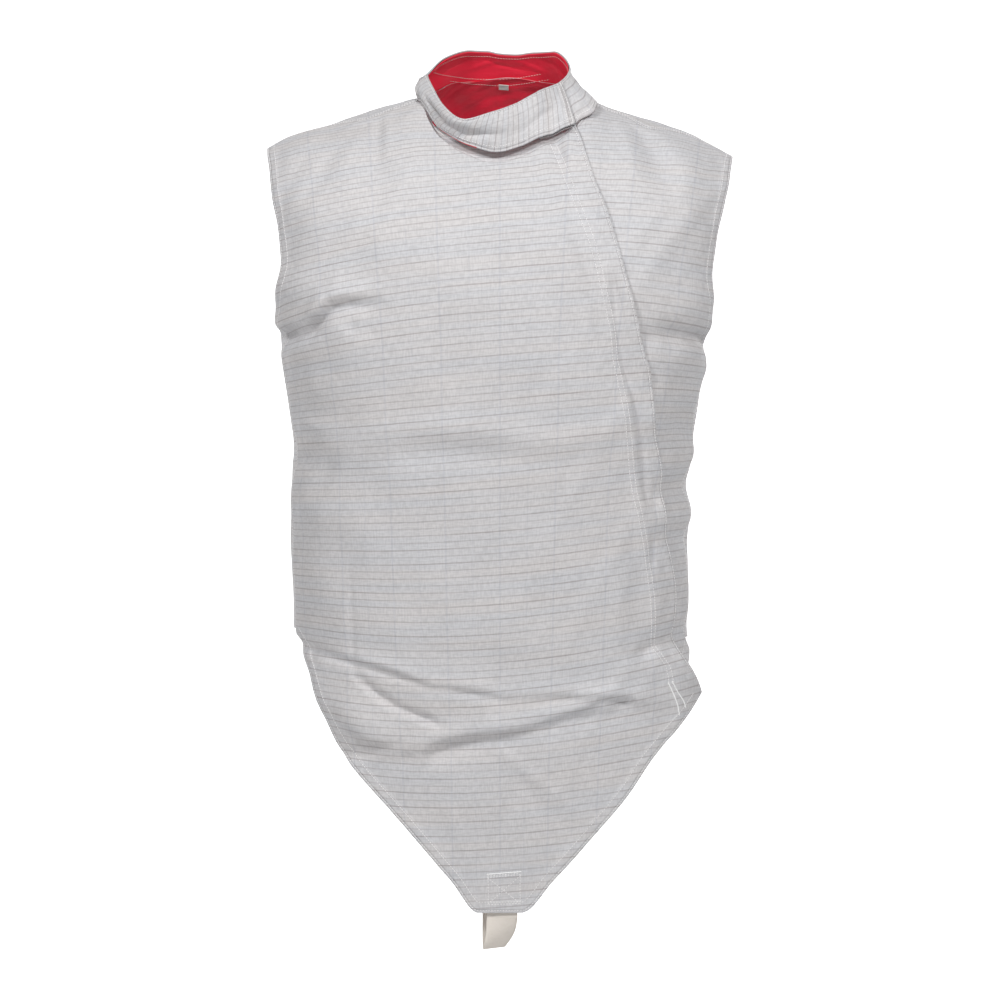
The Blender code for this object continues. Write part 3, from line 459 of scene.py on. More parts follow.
def body_point(around, rise):
    """Inner face of the cloth: lengths round the chest, and lengths up from the chest line."""
    around, rise = np.broadcast_arrays(np.asarray(around, float), np.asarray(rise, float))
    angle = angle_at(around)
    low = ring_point(angle, CHEST + np.minimum(rise, 0.0))
    turn = np.maximum(rise, 0.0) / SHOULDER_REACH * math.pi / 2
    over = turn > math.pi / 2
    front = (np.cos(angle) > 0) ^ over
    across = low[..., 0]
    depth = np.where(over, ring_depth(across, front), low[..., 1])
    turn = np.where(over, math.pi - turn, turn)
    power = 2 / np.where(front, FRONT_ROUND, BACK_ROUND)
    share_up = np.sin(turn) ** power
    share_out = np.maximum(np.cos(turn), 0.0) ** power
    x = across * shoulder_flare(across, share_up)
    ridges = [read(RIDGE, "across", name, x) for name in ("front", "back")]
    top = np.where(front, *ridges)
    y = between(SHOULDER_RIDGE_Y, depth, share_out)
    high = np.stack([x, y, between(CHEST, top, share_up)], axis=-1)
    return np.where((rise <= 0)[..., None], low, high)


def place(across, height, face):
    """Where points seen from the front or back lie: lengths round, and lengths up."""
    across, height = np.broadcast_arrays(np.asarray(across, float), np.asarray(height, float))
    front = face == "front"
    low = np.minimum(height, CHEST)
    left, right, depth, power = (
        read(TORSO, "height", name, low) for name in ("left", "right", face, "squareness")
    )
    half = np.where(across > 0, left, right)
    deep = np.clip(1 - np.abs(across / half) ** power, 0.0, None) ** (1 / power)
    deep = depth * deep * (-1 if front else 1)
    top = read(RIDGE, "across", face, across)
    share_up = np.clip((height - CHEST) / (top - CHEST), 0.0, 1.0)
    ring_x = across / shoulder_flare(across, share_up)
    turn = np.arcsin(share_up ** ((FRONT_ROUND if front else BACK_ROUND) / 2))
    high = girth_at(np.degrees(np.arctan2(ring_x, -ring_depth(ring_x, front))))
    around = np.where(height <= CHEST, girth_at(np.degrees(np.arctan2(across, -deep))), high)
    return around, np.where(height <= CHEST, height - CHEST, turn / (math.pi / 2) * SHOULDER_REACH)


SIDES = (-1, 1)
BACK_CENTRE = {sign: float(girth_at(sign * 180)) for sign in SIDES}
SIDE_SEAM = {sign: float(girth_at(sign * SIDE_SEAM_ANGLE)) for sign in SIDES}


def on_face(around, face):
    """Lengths round from the centre of the front or of the back."""
    if face == "front":
        return around
    return around - np.where(around > 0, BACK_CENTRE[1], BACK_CENTRE[-1])


def fold_lines(rows, face):
    """Folds as lines in the cloth's own lengths."""
    lines = []
    for x1, z1, x2, z2, bow, rise, left, right in np.array(rows) * MM:
        ends = [place(x, z, face) for x, z in ((x1, z1), (x2, z2))]
        start, end = (np.array([on_face(around, face), up]) for around, up in ends)
        lines.append((face, start, end, bow, rise, left, right))
    return lines


FOLDS = fold_lines(FRONT_FOLDS, "front") + fold_lines(BACK_FOLDS, "back")


def fold_rise(around, rise):
    """How far the folds lift the cloth at places, or sink it."""
    total = np.zeros(np.shape(around))
    for face, start, end, bow, height, left, right in FOLDS:
        line = end - start
        length = np.hypot(*line)
        x, y = on_face(around, face) - start[0], rise - start[1]
        along = (x * line[0] + y * line[1]) / length
        past = np.maximum(np.maximum(-along, along - length), 0.0)
        share = np.clip(along / length, 0.0, 1.0)
        across = (y * line[0] - x * line[1]) / length - bow * 4 * share * (1 - share)
        width = np.where(across > 0, left, right)
        tail = max(left, right)
        reach = (across / width) ** 2 + (past / (FOLD_TAIL * tail)) ** 2
        swell = between(FOLD_END_SHARE, 1.0, np.sin(math.pi * share))
        near = past < FOLD_REACH * tail
        total += np.where(near, height * np.exp(-np.minimum(reach, 60.0)) * swell, 0.0)
    return total


# Length below the shoulder seams over which the folds fade out, and where it may start
SEAM_CALM = 26 * MM
SEAM_CALM_START = 100 * MM

# Slack of the cloth between its folds: height in mm, lengths of a wave round and up, and phase
SLACK = (
    (0.45, 148, 92, 0.4),
    (0.35, -83, 124, 2.1),
    (0.30, 61, 170, 4.0),
    (0.22, -37, 71, 1.3),
    (0.16, 29, -46, 5.2),
)


def slack(around, rise):
    """Small soft waves of the cloth."""
    total = 0.0
    for height, round_wave, up_wave, phase in SLACK:
        turn = around / (round_wave * MM) + rise / (up_wave * MM)
        total += height * MM * np.sin(2 * math.pi * turn + phase)
    return total


def outward(around, rise):
    """The body's outward directions."""
    round_way = body_point(around + NUDGE, rise) - body_point(around - NUDGE, rise)
    up_way = body_point(around, rise + NUDGE) - body_point(around, rise - NUDGE)
    return unit(np.cross(round_way, up_way))


def fold_freedom(around, rise):
    """How freely the cloth folds, from 0 along the shoulder seams to 1."""
    is_front = np.cos(angle_at(around)) > 0
    seam = np.where(is_front, seam_rise(around, "front"), seam_rise(around, "back"))
    return np.where(rise > SEAM_CALM_START, smooth_step((seam - rise) / SEAM_CALM), 1.0)


def cloth_point(around, rise, lift=0.0):
    """Inner face of the folded cloth, lifted off the body by what lies beneath it."""
    away = (fold_rise(around, rise) + slack(around, rise)) * fold_freedom(around, rise) + lift
    return body_point(around, rise) + outward(around, rise) * away[..., None]


def edge_table(columns, face, key):
    """An edge given by its place across and height, in the cloth's own lengths."""
    around, rise = place(columns["across"], columns["height"], face)
    order = np.argsort((around, rise)[key], kind="stable")
    return {"around": around[order], "rise": rise[order]}


def chest_around(across, face):
    """Lengths round the chest at places across it."""
    return girth_at(np.degrees(np.arctan2(across, -ring_depth(across, face == "front"))))


def ring_across(across, turn, roundness):
    """Places across the chest ring of points on the way over the shoulder."""
    share_up = np.sin(np.radians(turn)) ** (2 / roundness)
    return across / shoulder_flare(across, share_up)


def neck_side_across(sign):
    """Place across the chest of the column that meets the shoulder seam beside the neck."""
    across = NECK_FRONT["across"][0 if sign < 0 else -1]
    return ring_across(across, read(SHOULDER_SEAM, "across", "turn", across), FRONT_ROUND)


def back_edge(sign):
    """The back neck on one side, in the cloth's own lengths from the back centre."""
    here = NECK_BACK["across"] * sign >= 0
    across, turn = NECK_BACK["across"][here], NECK_BACK["turn"][here]
    around = np.abs(chest_around(ring_across(across, turn, BACK_ROUND), "back"))
    order = np.argsort(around)
    return {"around": around[order], "rise": (turn / 90 * SHOULDER_REACH)[order]}


def back_hem_rows(sign):
    """The back's hem on one side, in the cloth's own lengths from the back centre."""
    here = HEM_BACK["across"] * sign >= 0
    around, rise = place(HEM_BACK["across"][here], HEM_BACK["height"][here], "back")
    order = np.argsort(np.abs(around))
    return {"around": np.abs(around)[order], "rise": rise[order]}


FACES = ("front", "back")
FREE = edge_table(FREE_EDGE, "front", 1)
NECK_EDGE = edge_table(NECK_FRONT, "front", 0)
MAIN_EDGE = edge_table(HEM_MAIN, "front", 0)
SIDE_EDGE = edge_table(HEM_SIDE, "front", 0)
ARMHOLE = {(s, f): float(chest_around(ARMHOLE_X[s], f)) for s in SIDES for f in FACES}
NECK_SIDE_X = {sign: float(neck_side_across(sign)) for sign in SIDES}
NECK_SIDE = {(s, f): float(chest_around(NECK_SIDE_X[s], f)) for s in SIDES for f in FACES}
BACK_NECK = {sign: back_edge(sign) for sign in SIDES}
BACK_HEM = {sign: back_hem_rows(sign) for sign in SIDES}


def free_edge(rise):
    """Lengths round to the main front's free edge."""
    return read(FREE, "rise", "around", rise)


def seam_rise(around, face):
    """Lengths up to the shoulder seam on columns, from the front or from the back."""
    ring_x = ring_point(angle_at(around), CHEST)[..., 0]
    turn = SHOULDER_SEAM["turn"][0]
    for _ in range(SEAM_ROUNDS):
        share_up = np.sin(np.radians(turn)) ** (2 / FRONT_ROUND)
        turn = read(SHOULDER_SEAM, "across", "turn", ring_x * shoulder_flare(ring_x, share_up))
    return np.where(face == "back", 180 - turn, turn) / 90 * SHOULDER_REACH


def armhole_rise(around, sign):
    """Lengths up to the lower curve of the armhole, between its front and back edges."""
    middle = girth_at(sign * 90)
    away = np.abs(around) - abs(middle)
    front, back = (abs(ARMHOLE[sign, face] - middle) for face in FACES)
    share = np.minimum(np.abs(away) / np.where(away < 0, front, back), 1.0)
    return between(UNDERARM[sign] - CHEST, ARMHOLE_RISE, 1 - np.sqrt(1 - share * share))


def front_top(around):
    """Lengths up to the front's top edge beside the neck and on the shoulders."""
    neck = read(NECK_EDGE, "around", "rise", around)
    top = seam_rise(around, "front") - SHOULDER_GAP / 2
    for sign in SIDES:
        side = NECK_SIDE[sign, "front"]
        seam = seam_rise(side, "front") - SHOULDER_GAP / 2
        here = (around * sign >= 0) & (np.abs(around) < abs(side))
        top = np.where(here, np.minimum(neck, seam), top)
    return top


def back_top(around):
    """Lengths up to the back's top edge on the shoulders and beside the neck."""
    top = seam_rise(around, "back") - SHOULDER_GAP / 2
    for sign in SIDES:
        here = (around * sign > 0) & (np.abs(around) > abs(NECK_SIDE[sign, "back"]))
        neck = read(BACK_NECK[sign], "around", "rise", np.abs(around))
        top = np.where(here, neck, top)
    return top


def main_hem(around):
    """Lengths up to the main front's hem."""
    return read(MAIN_EDGE, "around", "rise", around)


def side_hem(around):
    """Lengths up to the left side front's hem."""
    return read(SIDE_EDGE, "around", "rise", around)


def back_hem(around):
    """Lengths up to the back's hem."""
    left, right = (read(BACK_HEM[s], "around", "rise", np.abs(around)) for s in (1, -1))
    return np.where(around > 0, left, right)


def lap_lift(around, rise):
    """Lift of the main front where it laps over the side front."""
    inner = free_edge(rise) - LAP_WIDTH
    return LAP_LIFT * smooth_step((around - inner + LAP_SLOPE + LAP_CLEAR) / LAP_SLOPE)


def meet(around_of, edge_of, reach):
    """Lengths up at which columns, whose length round changes, meet an edge."""
    low, high = (np.full(np.shape(around_of(0.0)), end) for end in reach)
    for _ in range(HALVINGS):
        middle = (low + high) / 2
        below = middle < edge_of(around_of(middle))
        low, high = np.where(below, middle, low), np.where(below, high, middle)
    return (low + high) / 2


# Lengths of the panels' parts, for their numbers of rows: hem, waist, armhole and shoulder.
# Then lengths along the shoulder and the neck, and columns under an armhole, for the columns.
MAIN_LENGTHS = (0.30, 0.238, 0.078, 0.172)
SIDE_LENGTHS = (0.12, 0.238, 0.078, 0.172)
BACK_LENGTHS = (0.0, 0.28, 0.078, 0.19)
SHOULDER_LENGTH = 0.15
NECK_LENGTH = 0.13
SIDE_NECK_LENGTH = 0.04
UNDER_MAIN, UNDER_SIDE, UNDER_BACK = 26, 20, 44

# Height above which stripes stay at their place on a column
SHOULDER_HOLD = -90 * MM

# Recess of the fronts below the collar: how deep, from where, and how far its edge is tucked in.
# It starts and ends inside the neck, and the tuck is shorter round one place.
RECESS_DEPTH = 8 * MM
RECESS_START = 10 * MM
RECESS_WIDTH = 4 * MM
RECESS_TUCK = 13 * MM
RECESS_SHORT = 5 * MM
RECESS_SHORT_AT = -48 * MM
RECESS_SHORT_WIDTH = 16 * MM
RECESS_NECK_SHARE = 0.94
RECESS_NECK_FADE = 12 * MM

# How far the flap's free edge stands off in waves, and their radians a metre and phase
FLAP_CURL = 2.2 * MM
FLAP_CURL_WIDTH = 12 * MM
FLAP_CURL_TURN = 38.0
FLAP_CURL_PHASE = 0.7


def count_of(length, step):
    """Number of steps along a length."""
    return max(int(round(length / step)), 2) if length else 0


def still(arounds):
    """Columns that keep their lengths round."""
    return lambda rise: np.asarray(arounds) + 0.0 * rise


def shares_of_lap(shares):
    """Columns at shares of the way from the front centre to the lap's inner edge."""
    return lambda rise: (free_edge(rise) - LAP_WIDTH) * shares


def lap_columns(shares):
    """Columns at shares of the way across the lap."""
    return lambda rise: free_edge(rise) - LAP_WIDTH * (1 - shares)


def side_columns(shares):
    """Columns of the side front from the lap to the armhole, or below it the side seam."""
    armhole = ARMHOLE[1, "front"]
    start = free_edge(0.0)
    below = (armhole - start) / (SIDE_SEAM[1] - start)

    def around_of(rise):
        edge = free_edge(rise)
        low = between(edge, between(edge, SIDE_SEAM[1], below), shares)
        return np.where(rise >= 0, between(edge, armhole, shares), low)

    return around_of


def under_columns(shares):
    """Columns of the side front below the armhole, beside the side seam."""
    armhole = side_columns(1.0)
    side = SIDE_SEAM[1] - SEAM_GAP / 2
    return lambda rise: between(armhole(np.minimum(rise, 0.0)), side, shares)


def shoulder_columns(sign, face, count):
    """Lengths round of columns that meet the shoulder seam, from the armhole to the neck."""
    return chest_around(np.linspace(ARMHOLE_X[sign], NECK_SIDE_X[sign], count + 1), face)


def neck_columns(sign, face, turns):
    """Lengths round of columns from the side of the neck to the centre, closer at the side."""
    centre = 0.0 if face == "front" else BACK_CENTRE[sign]
    return between(centre, NECK_SIDE[sign, face], np.cos(turns))


def neck_turns(step):
    """Quarter turn from the centre of the neck to its side, in steps."""
    return np.linspace(0.0, math.pi / 2, count_of(NECK_LENGTH, step) + 1)


def lap_shares(step):
    """Shares across the lap, in steps."""
    return np.linspace(0.0, 1.0, count_of(LAP_WIDTH, step) + 1)


def front_neck_groups(step):
    """The main front's columns below its collar, from the right shoulder to the free edge."""
    turns = neck_turns(step)
    shares = np.linspace(0.0, 1.0, len(turns))
    return [
        still(neck_columns(-1, "front", turns)[:-1]),
        shares_of_lap(shares[:-1]),
        lap_columns(lap_shares(step)),
    ]


def armhole_columns(sign, side, last, count):
    """Lengths round of columns evenly spaced along the armhole's lower curve."""
    middle = float(girth_at(sign * 90))
    front, back = (ARMHOLE[sign, face] - middle for face in FACES)
    turns = np.linspace(math.asin((side - middle) / front), math.asin(last), count + 1)
    shares = np.sin(turns)
    return middle + np.where(shares > 0, shares * front, -shares * back)


def column_levels(around_of, hem_of, top, rows):
    """Lengths up of columns' points, row by row. Without shoulder rows they end at the armhole."""
    hem_rows, waist_rows, armhole_rows, shoulder_rows = rows
    bottom = meet(around_of, hem_of, HEM_REACH)
    zero = 0.0 * bottom
    parts = []
    if hem_rows:
        parts.append(np.linspace(bottom, zero + WAIST_RISE, hem_rows, endpoint=False))
        bottom = zero + WAIST_RISE
    parts.append(np.linspace(bottom, zero, waist_rows, endpoint=False))
    if shoulder_rows:
        parts.append(np.linspace(zero, zero + ARMHOLE_RISE, armhole_rows, endpoint=False))
        parts.append(np.linspace(zero + ARMHOLE_RISE, top, shoulder_rows + 1))
    else:
        parts.append(np.linspace(zero, top, armhole_rows + 1))
    return np.concatenate(parts)


def grain_lengths(points):
    """Lengths up the cloth in which its stripes are evenly spaced, from the lowest row."""
    steps = np.linalg.norm(np.diff(points, axis=0), axis=-1)
    closer = np.interp(points[1:, ..., 2], STRIPE_SHARES["height"], STRIPE_SHARES["share"])
    return np.concatenate([0.0 * steps[:1], np.cumsum(steps * closer, axis=0)])


def centre_lengths(around):
    """Lengths up the cloth at a centre by its height, from the chest line."""
    rise = np.linspace(*CENTRE_REACH, CENTRE_POINTS)
    points = body_point(np.full(rise.shape, around), rise)
    lengths = grain_lengths(points)
    return points[:, 2], lengths - np.interp(0.0, rise, lengths)


CENTRES = {"front": centre_lengths(0.0), "back": centre_lengths(BACK_CENTRE[1])}


def stripe_lift(lifts, points):
    """How far the stripes stand above their height at the centre, at the points."""
    rows = np.stack([lifts[name] for name in lifts if name != "height"], axis=1)
    fits = np.array([np.polyfit(STRIPE_PLACES, row, 3) for row in rows])
    factors = [np.interp(points[..., 2], lifts["height"], fits[:, k]) for k in range(4)]
    ends = (STRIPE_PLACES[0] - STRIPE_MARGIN, STRIPE_PLACES[-1] + STRIPE_MARGIN)
    across = np.clip(points[..., 0], *ends)
    return ((factors[0] * across + factors[1]) * across + factors[2]) * across + factors[3]


def stripe_lengths(around, rise, chest_row, lifts, face):
    """Lengths up along the cloth's grain, in which its stripes are evenly spaced."""
    points = body_point(around, rise)
    own = grain_lengths(points)
    own -= own[chest_row]
    centre = np.interp(points[..., 2] - stripe_lift(lifts, points), *CENTRES[face])
    shift = own - centre
    for column in range(shift.shape[1]):
        high = np.nonzero(points[:, column, 2] > SHOULDER_HOLD)[0]
        if len(high):
            shift[high[0]:, column] = shift[high[0], column]
    return own - shift


def panel(groups, hem_of, rows, lifts, face, lift_of=None):
    """Columns of a panel's outer points, and their places on the cloth."""
    columns, places = [], []
    for around_of, top, is_short in groups:
        top = top(around_of(0.0)) if is_short else meet(around_of, top, TOP_REACH)
        levels = column_levels(around_of, hem_of, top, (*rows[:3], 0 if is_short else rows[3]))
        around = around_of(levels)
        away = WALL + (lift_of(around, levels, top) if lift_of else 0.0)
        points = cloth_point(around, levels, away + 0.0 * levels)
        grain = stripe_lengths(around, levels, rows[0] + rows[1], lifts, face)
        place_up = np.stack([on_face(around, face), grain], axis=-1)
        columns += list(np.swapaxes(points, 0, 1))
        places += list(np.swapaxes(place_up, 0, 1))
    return columns, places


def beside_neck(around):
    """How far columns lie inside the neck, from 0 at its sides to 1."""
    inner = RECESS_NECK_SHARE * abs(NECK_SIDE[-1, "front"])
    return smooth_step((inner - np.abs(around)) / RECESS_NECK_FADE)


def tucked_top(around):
    """Lengths up to the main front's edge, which runs on behind the collar band."""
    short = RECESS_SHORT * np.exp(-(((around - RECESS_SHORT_AT) / RECESS_SHORT_WIDTH) ** 2))
    return front_top(around) + (RECESS_TUCK - short) * beside_neck(around)


def recess(around, rise):
    """How far the fronts sink in below the collar."""
    depth = 1 - smooth_step((front_top(around) - rise - RECESS_START) / RECESS_WIDTH)
    return RECESS_DEPTH * depth * beside_neck(around)


def flap_lift(around, rise):
    """The main front lies on the side front, and its free edge stands off a little."""
    near = 1 - smooth_step((free_edge(rise) - around) / FLAP_CURL_WIDTH)
    wave = np.sin(rise * FLAP_CURL_TURN + FLAP_CURL_PHASE) ** 2
    return lap_lift(around, rise) + FLAP_CURL * near * wave


def main_front_lift(around, rise, top):
    """The main front's flap lies on the side front and sinks in with it below the collar."""
    return flap_lift(around, rise) - recess(around, rise)


def main_front_panel(step):
    """Chest, right shoulder and pointed hem, with the free edge that laps to the left."""
    side = SIDE_SEAM[-1] + SEAM_GAP / 2
    under = armhole_columns(-1, side, 1.0, UNDER_MAIN)[:-1]
    shoulders = shoulder_columns(-1, "front", count_of(SHOULDER_LENGTH, step))[:-1]
    groups = [
        (still(under), lambda a: armhole_rise(a, -1), True),
        (still(shoulders), front_top, False),
    ]
    groups += [(around_of, tucked_top, False) for around_of in front_neck_groups(step)]
    rows = [count_of(length, step) for length in MAIN_LENGTHS]
    return panel(groups, main_hem, rows, STRIPES_MAIN, "front", main_front_lift)


def side_shares(step):
    """Shares across the side front of its full columns, from the lap to the armhole."""
    armhole = ARMHOLE[1, "front"]
    edge = float(free_edge(FREE["rise"][-1]))
    shoulders = shoulder_columns(1, "front", count_of(SHOULDER_LENGTH, step))[::-1]
    neck = NECK_SIDE[1, "front"]
    count = count_of(SIDE_NECK_LENGTH, step)
    turns = np.linspace(math.asin(edge / neck), math.pi / 2, count + 1)
    arounds = np.concatenate([neck * np.sin(turns)[:-1], shoulders])
    return (arounds - edge) / (armhole - edge)


def left_side_panel(step):
    """Left shoulder and side, reaching under the main front's free edge."""
    side = SIDE_SEAM[1] - SEAM_GAP / 2
    armhole = ARMHOLE[1, "front"]
    under = armhole_columns(1, side, 1.0, UNDER_SIDE)[::-1][1:]
    groups = [
        (lap_columns(lap_shares(step)[:-1]), front_top, False),
        (side_columns(side_shares(step)), front_top, False),
        (under_columns((under - armhole) / (side - armhole)), lambda a: armhole_rise(a, 1), True),
    ]
    rows = [count_of(length, step) for length in SIDE_LENGTHS]
    return panel(groups, side_hem, rows, STRIPES_SIDE, "front", lambda a, r, top: -recess(a, r))


def back_panel(step):
    """The plain back, from the waist over the shoulders to their seams."""
    halves = []
    for sign in (1, -1):
        side = SIDE_SEAM[sign] + sign * SEAM_GAP / 2
        under = armhole_columns(sign, side, -1.0, UNDER_BACK)[:-1]
        shoulders = shoulder_columns(sign, "back", count_of(SHOULDER_LENGTH, step))[:-1]
        neck = neck_columns(sign, "back", neck_turns(step))
        halves.append((under, np.concatenate([shoulders, neck])))
    (left_under, left_full), (right_under, right_full) = halves
    groups = [
        (still(left_under), lambda a: armhole_rise(a, 1), True),
        (still(left_full), back_top, False),
        (still(right_full[::-1][1:]), back_top, False),
        (still(right_under[::-1]), lambda a: armhole_rise(a, -1), True),
    ]
    rows = [count_of(length, step) for length in BACK_LENGTHS]
    return panel(groups, back_hem, rows, STRIPES_BACK, "back")


def neck_spots(groups, face, lapped=False):
    """Where panels' columns carry the collar, and the body's outward way there."""
    parts = []
    for around_of in groups:
        rise = meet(around_of, front_top if face == "front" else back_top, TOP_REACH)
        around = around_of(rise)
        if face == "back":
            for sign in SIDES:
                side, centre = NECK_SIDE[sign, "back"], BACK_CENTRE[sign]
                share = (around - side) / (centre - side)
                rise = rise - np.where(around * sign > 0, NECK_STAND * share, 0.0)
        lift = lap_lift(around, rise) if lapped else 0.0 * rise
        across = body_point(around, rise)[:, 0]
        degrees = read(NECK_FRONT if face == "front" else NECK_BACK, "across", "degrees", across)
        parts.append((degrees, cloth_point(around, rise, lift), outward(around, rise), lift))
    return parts


def join_spots(parts):
    """Spots round the neck as one set of arrays."""
    names = ("degrees", "point", "out", "lift")
    return {name: np.concatenate([part[i] for part in parts]) for i, name in enumerate(names)}


def front_spots(step):
    """Where the main front carries its collar, from the right shoulder to the free edge."""
    spots = join_spots(neck_spots(front_neck_groups(step), "front", lapped=True))
    spots["degrees"][0] += COLLAR_GAP_DEGREES
    return spots


def back_spots(step):
    """Where the side front and the back carry theirs, from under the lap to the right shoulder."""
    laps = lap_shares(step)[:-1]
    sides = side_shares(step)[:count_of(SIDE_NECK_LENGTH, step)]
    left, right = (neck_columns(sign, "back", neck_turns(step)) for sign in (1, -1))
    parts = neck_spots([lap_columns(laps), side_columns(sides)], "front")
    parts += neck_spots([still(left), still(right[::-1][1:])], "back")
    spots = join_spots(parts)
    spots["degrees"][-1] -= COLLAR_GAP_DEGREES
    return spots


def collar_base(spots, tucked):
    """Lower edge of the collar's inner face. A tucked one stands on the panel's edge."""
    way = np.gradient(spots["point"], axis=0)
    inward = unit(np.cross(spots["out"], way))
    past = spots["degrees"] - LAP_END
    over = smooth_step(past / LAP_END_SLOPE) if tucked else np.ones(past.shape)
    base = spots["point"] + spots["out"] * ((WALL + SEAM_GAP) * over)[:, None]
    if tucked:
        beyond = WALL * (1 - smooth_step(past / LAP_END_SLOPE - 1))
        flare = read(COLLAR_FLARE, "degrees", "out", spots["degrees"])
        base = base + inward * (beyond - flare)[:, None]
        base[:, 2] += read(COLLAR_FLARE, "degrees", "hover", spots["degrees"])
    return base


# Creases across the collar bands: start and end in degrees, depth in mm, then share of the
# band's height at both ends, and width as a share of it
FRONT_CREASES = (
    (-80, -10, -6.5, 0.60, 0.32, 0.17),
    (-66, -30, -0.8, 0.72, 0.30, 0.13),
    (-34, -4, -1.2, 0.30, 0.42, 0.09),
    (-30, 12, 1.0, 0.55, 0.62, 0.12),
    (-26, 4, -1.5, 0.44, 0.42, 0.07),
    (10, 40, -1.0, 0.30, 0.55, 0.10),
    (24, 48, 0.8, 0.75, 0.45, 0.10),
)
BACK_CREASES = (
    (70, 100, -1.6, 0.35, 0.75, 0.12),
    (140, 200, -1.2, 0.25, 0.60, 0.12),
    (150, 215, 0.9, 0.75, 0.40, 0.10),
    (220, 252, -1.4, 0.70, 0.30, 0.12),
)
LINING_CREASES = (
    (112, 150, 1.1, 0.30, 0.95, 0.10),
    (128, 172, -0.9, 0.20, 0.85, 0.08),
    (150, 200, 1.0, 0.30, 0.80, 0.09),
    (176, 222, -0.9, 0.80, 0.30, 0.08),
    (196, 240, 1.1, 0.90, 0.35, 0.10),
)


def band(spots, shares, creases, tucked=False):
    """Columns of the collar's inner points over the spots, at shares of its height."""
    degrees = spots["degrees"][:, None]
    base = collar_base(spots, tucked)[:, None, :]
    names = ("across", "deep", "height", "swell")
    x, y, z, swell = (read(COLLAR_TOP, "degrees", name, spots["degrees"]) for name in names)
    level = unit(np.stack([x, y, 0.0 * x], axis=1))
    top = (np.stack([x, y, z], axis=1) + level * spots["lift"][:, None])[:, None, :]
    away = swell[:, None] * np.sin(math.pi * shares ** COLLAR_SWELL_UP)
    for start, end, depth, low, high, width in creases:
        along = np.clip((degrees - start) / (end - start), 0.0, 1.0)
        middle = between(low, high, along)
        near = np.exp(-(((shares - middle) / width) ** 2))
        away = away + depth * MM * np.sin(math.pi * along) * near
    return between(base, top, shares[..., None]) + level[:, None, :] * away[..., None]


def moved_out(grid, distance):
    """A grid of points moved along its own outward direction."""
    out = unit(np.cross(np.gradient(grid, axis=0), np.gradient(grid, axis=1)))
    return grid + out * distance


def lengths_along(grid, axis):
    """Real lengths along one way of a grid, the same for each of its lines."""
    steps = np.linalg.norm(np.diff(grid, axis=axis), axis=-1).mean(axis=1 - axis)
    return np.concatenate([[0.0], np.cumsum(steps)])


def count_rows(points):
    """Point numbers of columns that follow one another."""
    ends = np.cumsum([0] + [len(column) for column in points])
    return [np.arange(start, end) for start, end in zip(ends, ends[1:])]


def grid_faces(columns):
    """Quads between neighbouring columns of point numbers, which may be of unlike lengths."""
    faces = []
    for left, right in zip(columns, columns[1:]):
        rows = min(len(left), len(right)) - 1
        corners = (left[:rows], right[:rows], right[1:rows + 1], left[1:rows + 1])
        faces.append(np.stack(corners, axis=1))
    return np.concatenate(faces)


def edge_distance(points, faces):
    """Distance of each point from the sheet's own edge."""
    sides = np.concatenate([faces[:, [k, (k + 1) % 4]] for k in range(4)])
    pairs, counts = np.unique(np.sort(sides, axis=1), axis=0, return_counts=True)
    border = points[pairs[counts == 1]]
    shares = np.linspace(0.0, 1.0, 6, endpoint=False)
    spots = np.concatenate([between(border[:, 0], border[:, 1], share) for share in shares])
    tree = KDTree(len(spots))
    for number, spot in enumerate(spots):
        tree.insert(spot, number)
    tree.balance()
    return np.array([tree.find(point)[2] for point in points])


def new_sheet(name, columns, places, materials, wall):
    """A shell of cloth inwards from its outer points, with its places on the cloth as UV map."""
    points = np.concatenate(columns)
    flat = np.concatenate(places)
    faces = grid_faces(count_rows(columns))
    mesh = bpy.data.meshes.new(name)
    mesh.from_pydata(points.tolist(), [], faces.tolist())
    corners = np.empty(len(mesh.loops), np.int32)
    mesh.loops.foreach_get("vertex_index", corners)
    layer = mesh.uv_layers.new(name="cloth")
    layer.data.foreach_set("uv", flat[corners].astype(np.float32).ravel())
    edge = mesh.attributes.new("edge", "FLOAT", "POINT")
    edge.data.foreach_set("value", edge_distance(points, faces).astype(np.float32))
    for material in materials:
        mesh.materials.append(material)
    mesh.shade_smooth()
    piece = bpy.data.objects.new(name, mesh)
    bpy.context.scene.collection.objects.link(piece)
    solid = piece.modifiers.new("Wall", "SOLIDIFY")
    solid.thickness = wall
    solid.offset = -1.0
    solid.material_offset = len(materials) - 1
    crisp = piece.modifiers.new("Crisp edge", "WEIGHTED_NORMAL")
    crisp.weight = 90
    return piece


def settle(piece, node, slot, flat, area):
    """Put a cloth piece in place of its solid. The cut it is given is not used."""
    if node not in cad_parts:
        raise RuntimeError(f"the frame has no {node}")
    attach(piece, "root")
    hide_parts(node)


# Colours, as sRGB codes
CLOTH_TINTS = ("D7D4D4", "D2D2D5")
STRIPE_COLOUR = "8E8080"
UPRIGHT_COLOUR = "8C93A8"
TURNED_CLOTH = "C9C5C5"
WEBBING = "EBE3DA"
TAPE = "F4F4F0"
STUDIO = "EDEDED"

# Lines of the cloth: the shares of their pitch over which they fade, and the strengths of
# each first and second one. Then how far stripes waver, and how the weave shades the cloth.
STRIPE_FADE, STRIPE_STRENGTHS = (0.03, 0.13), (0.56, 0.38)
UPRIGHT_FADE, UPRIGHT_STRENGTHS = (0.015, 0.05), (0.12, 0.05)
STRIPE_WAVER = 0.8 * MM
WEAVE_SHADES = (0.92, 1.05)

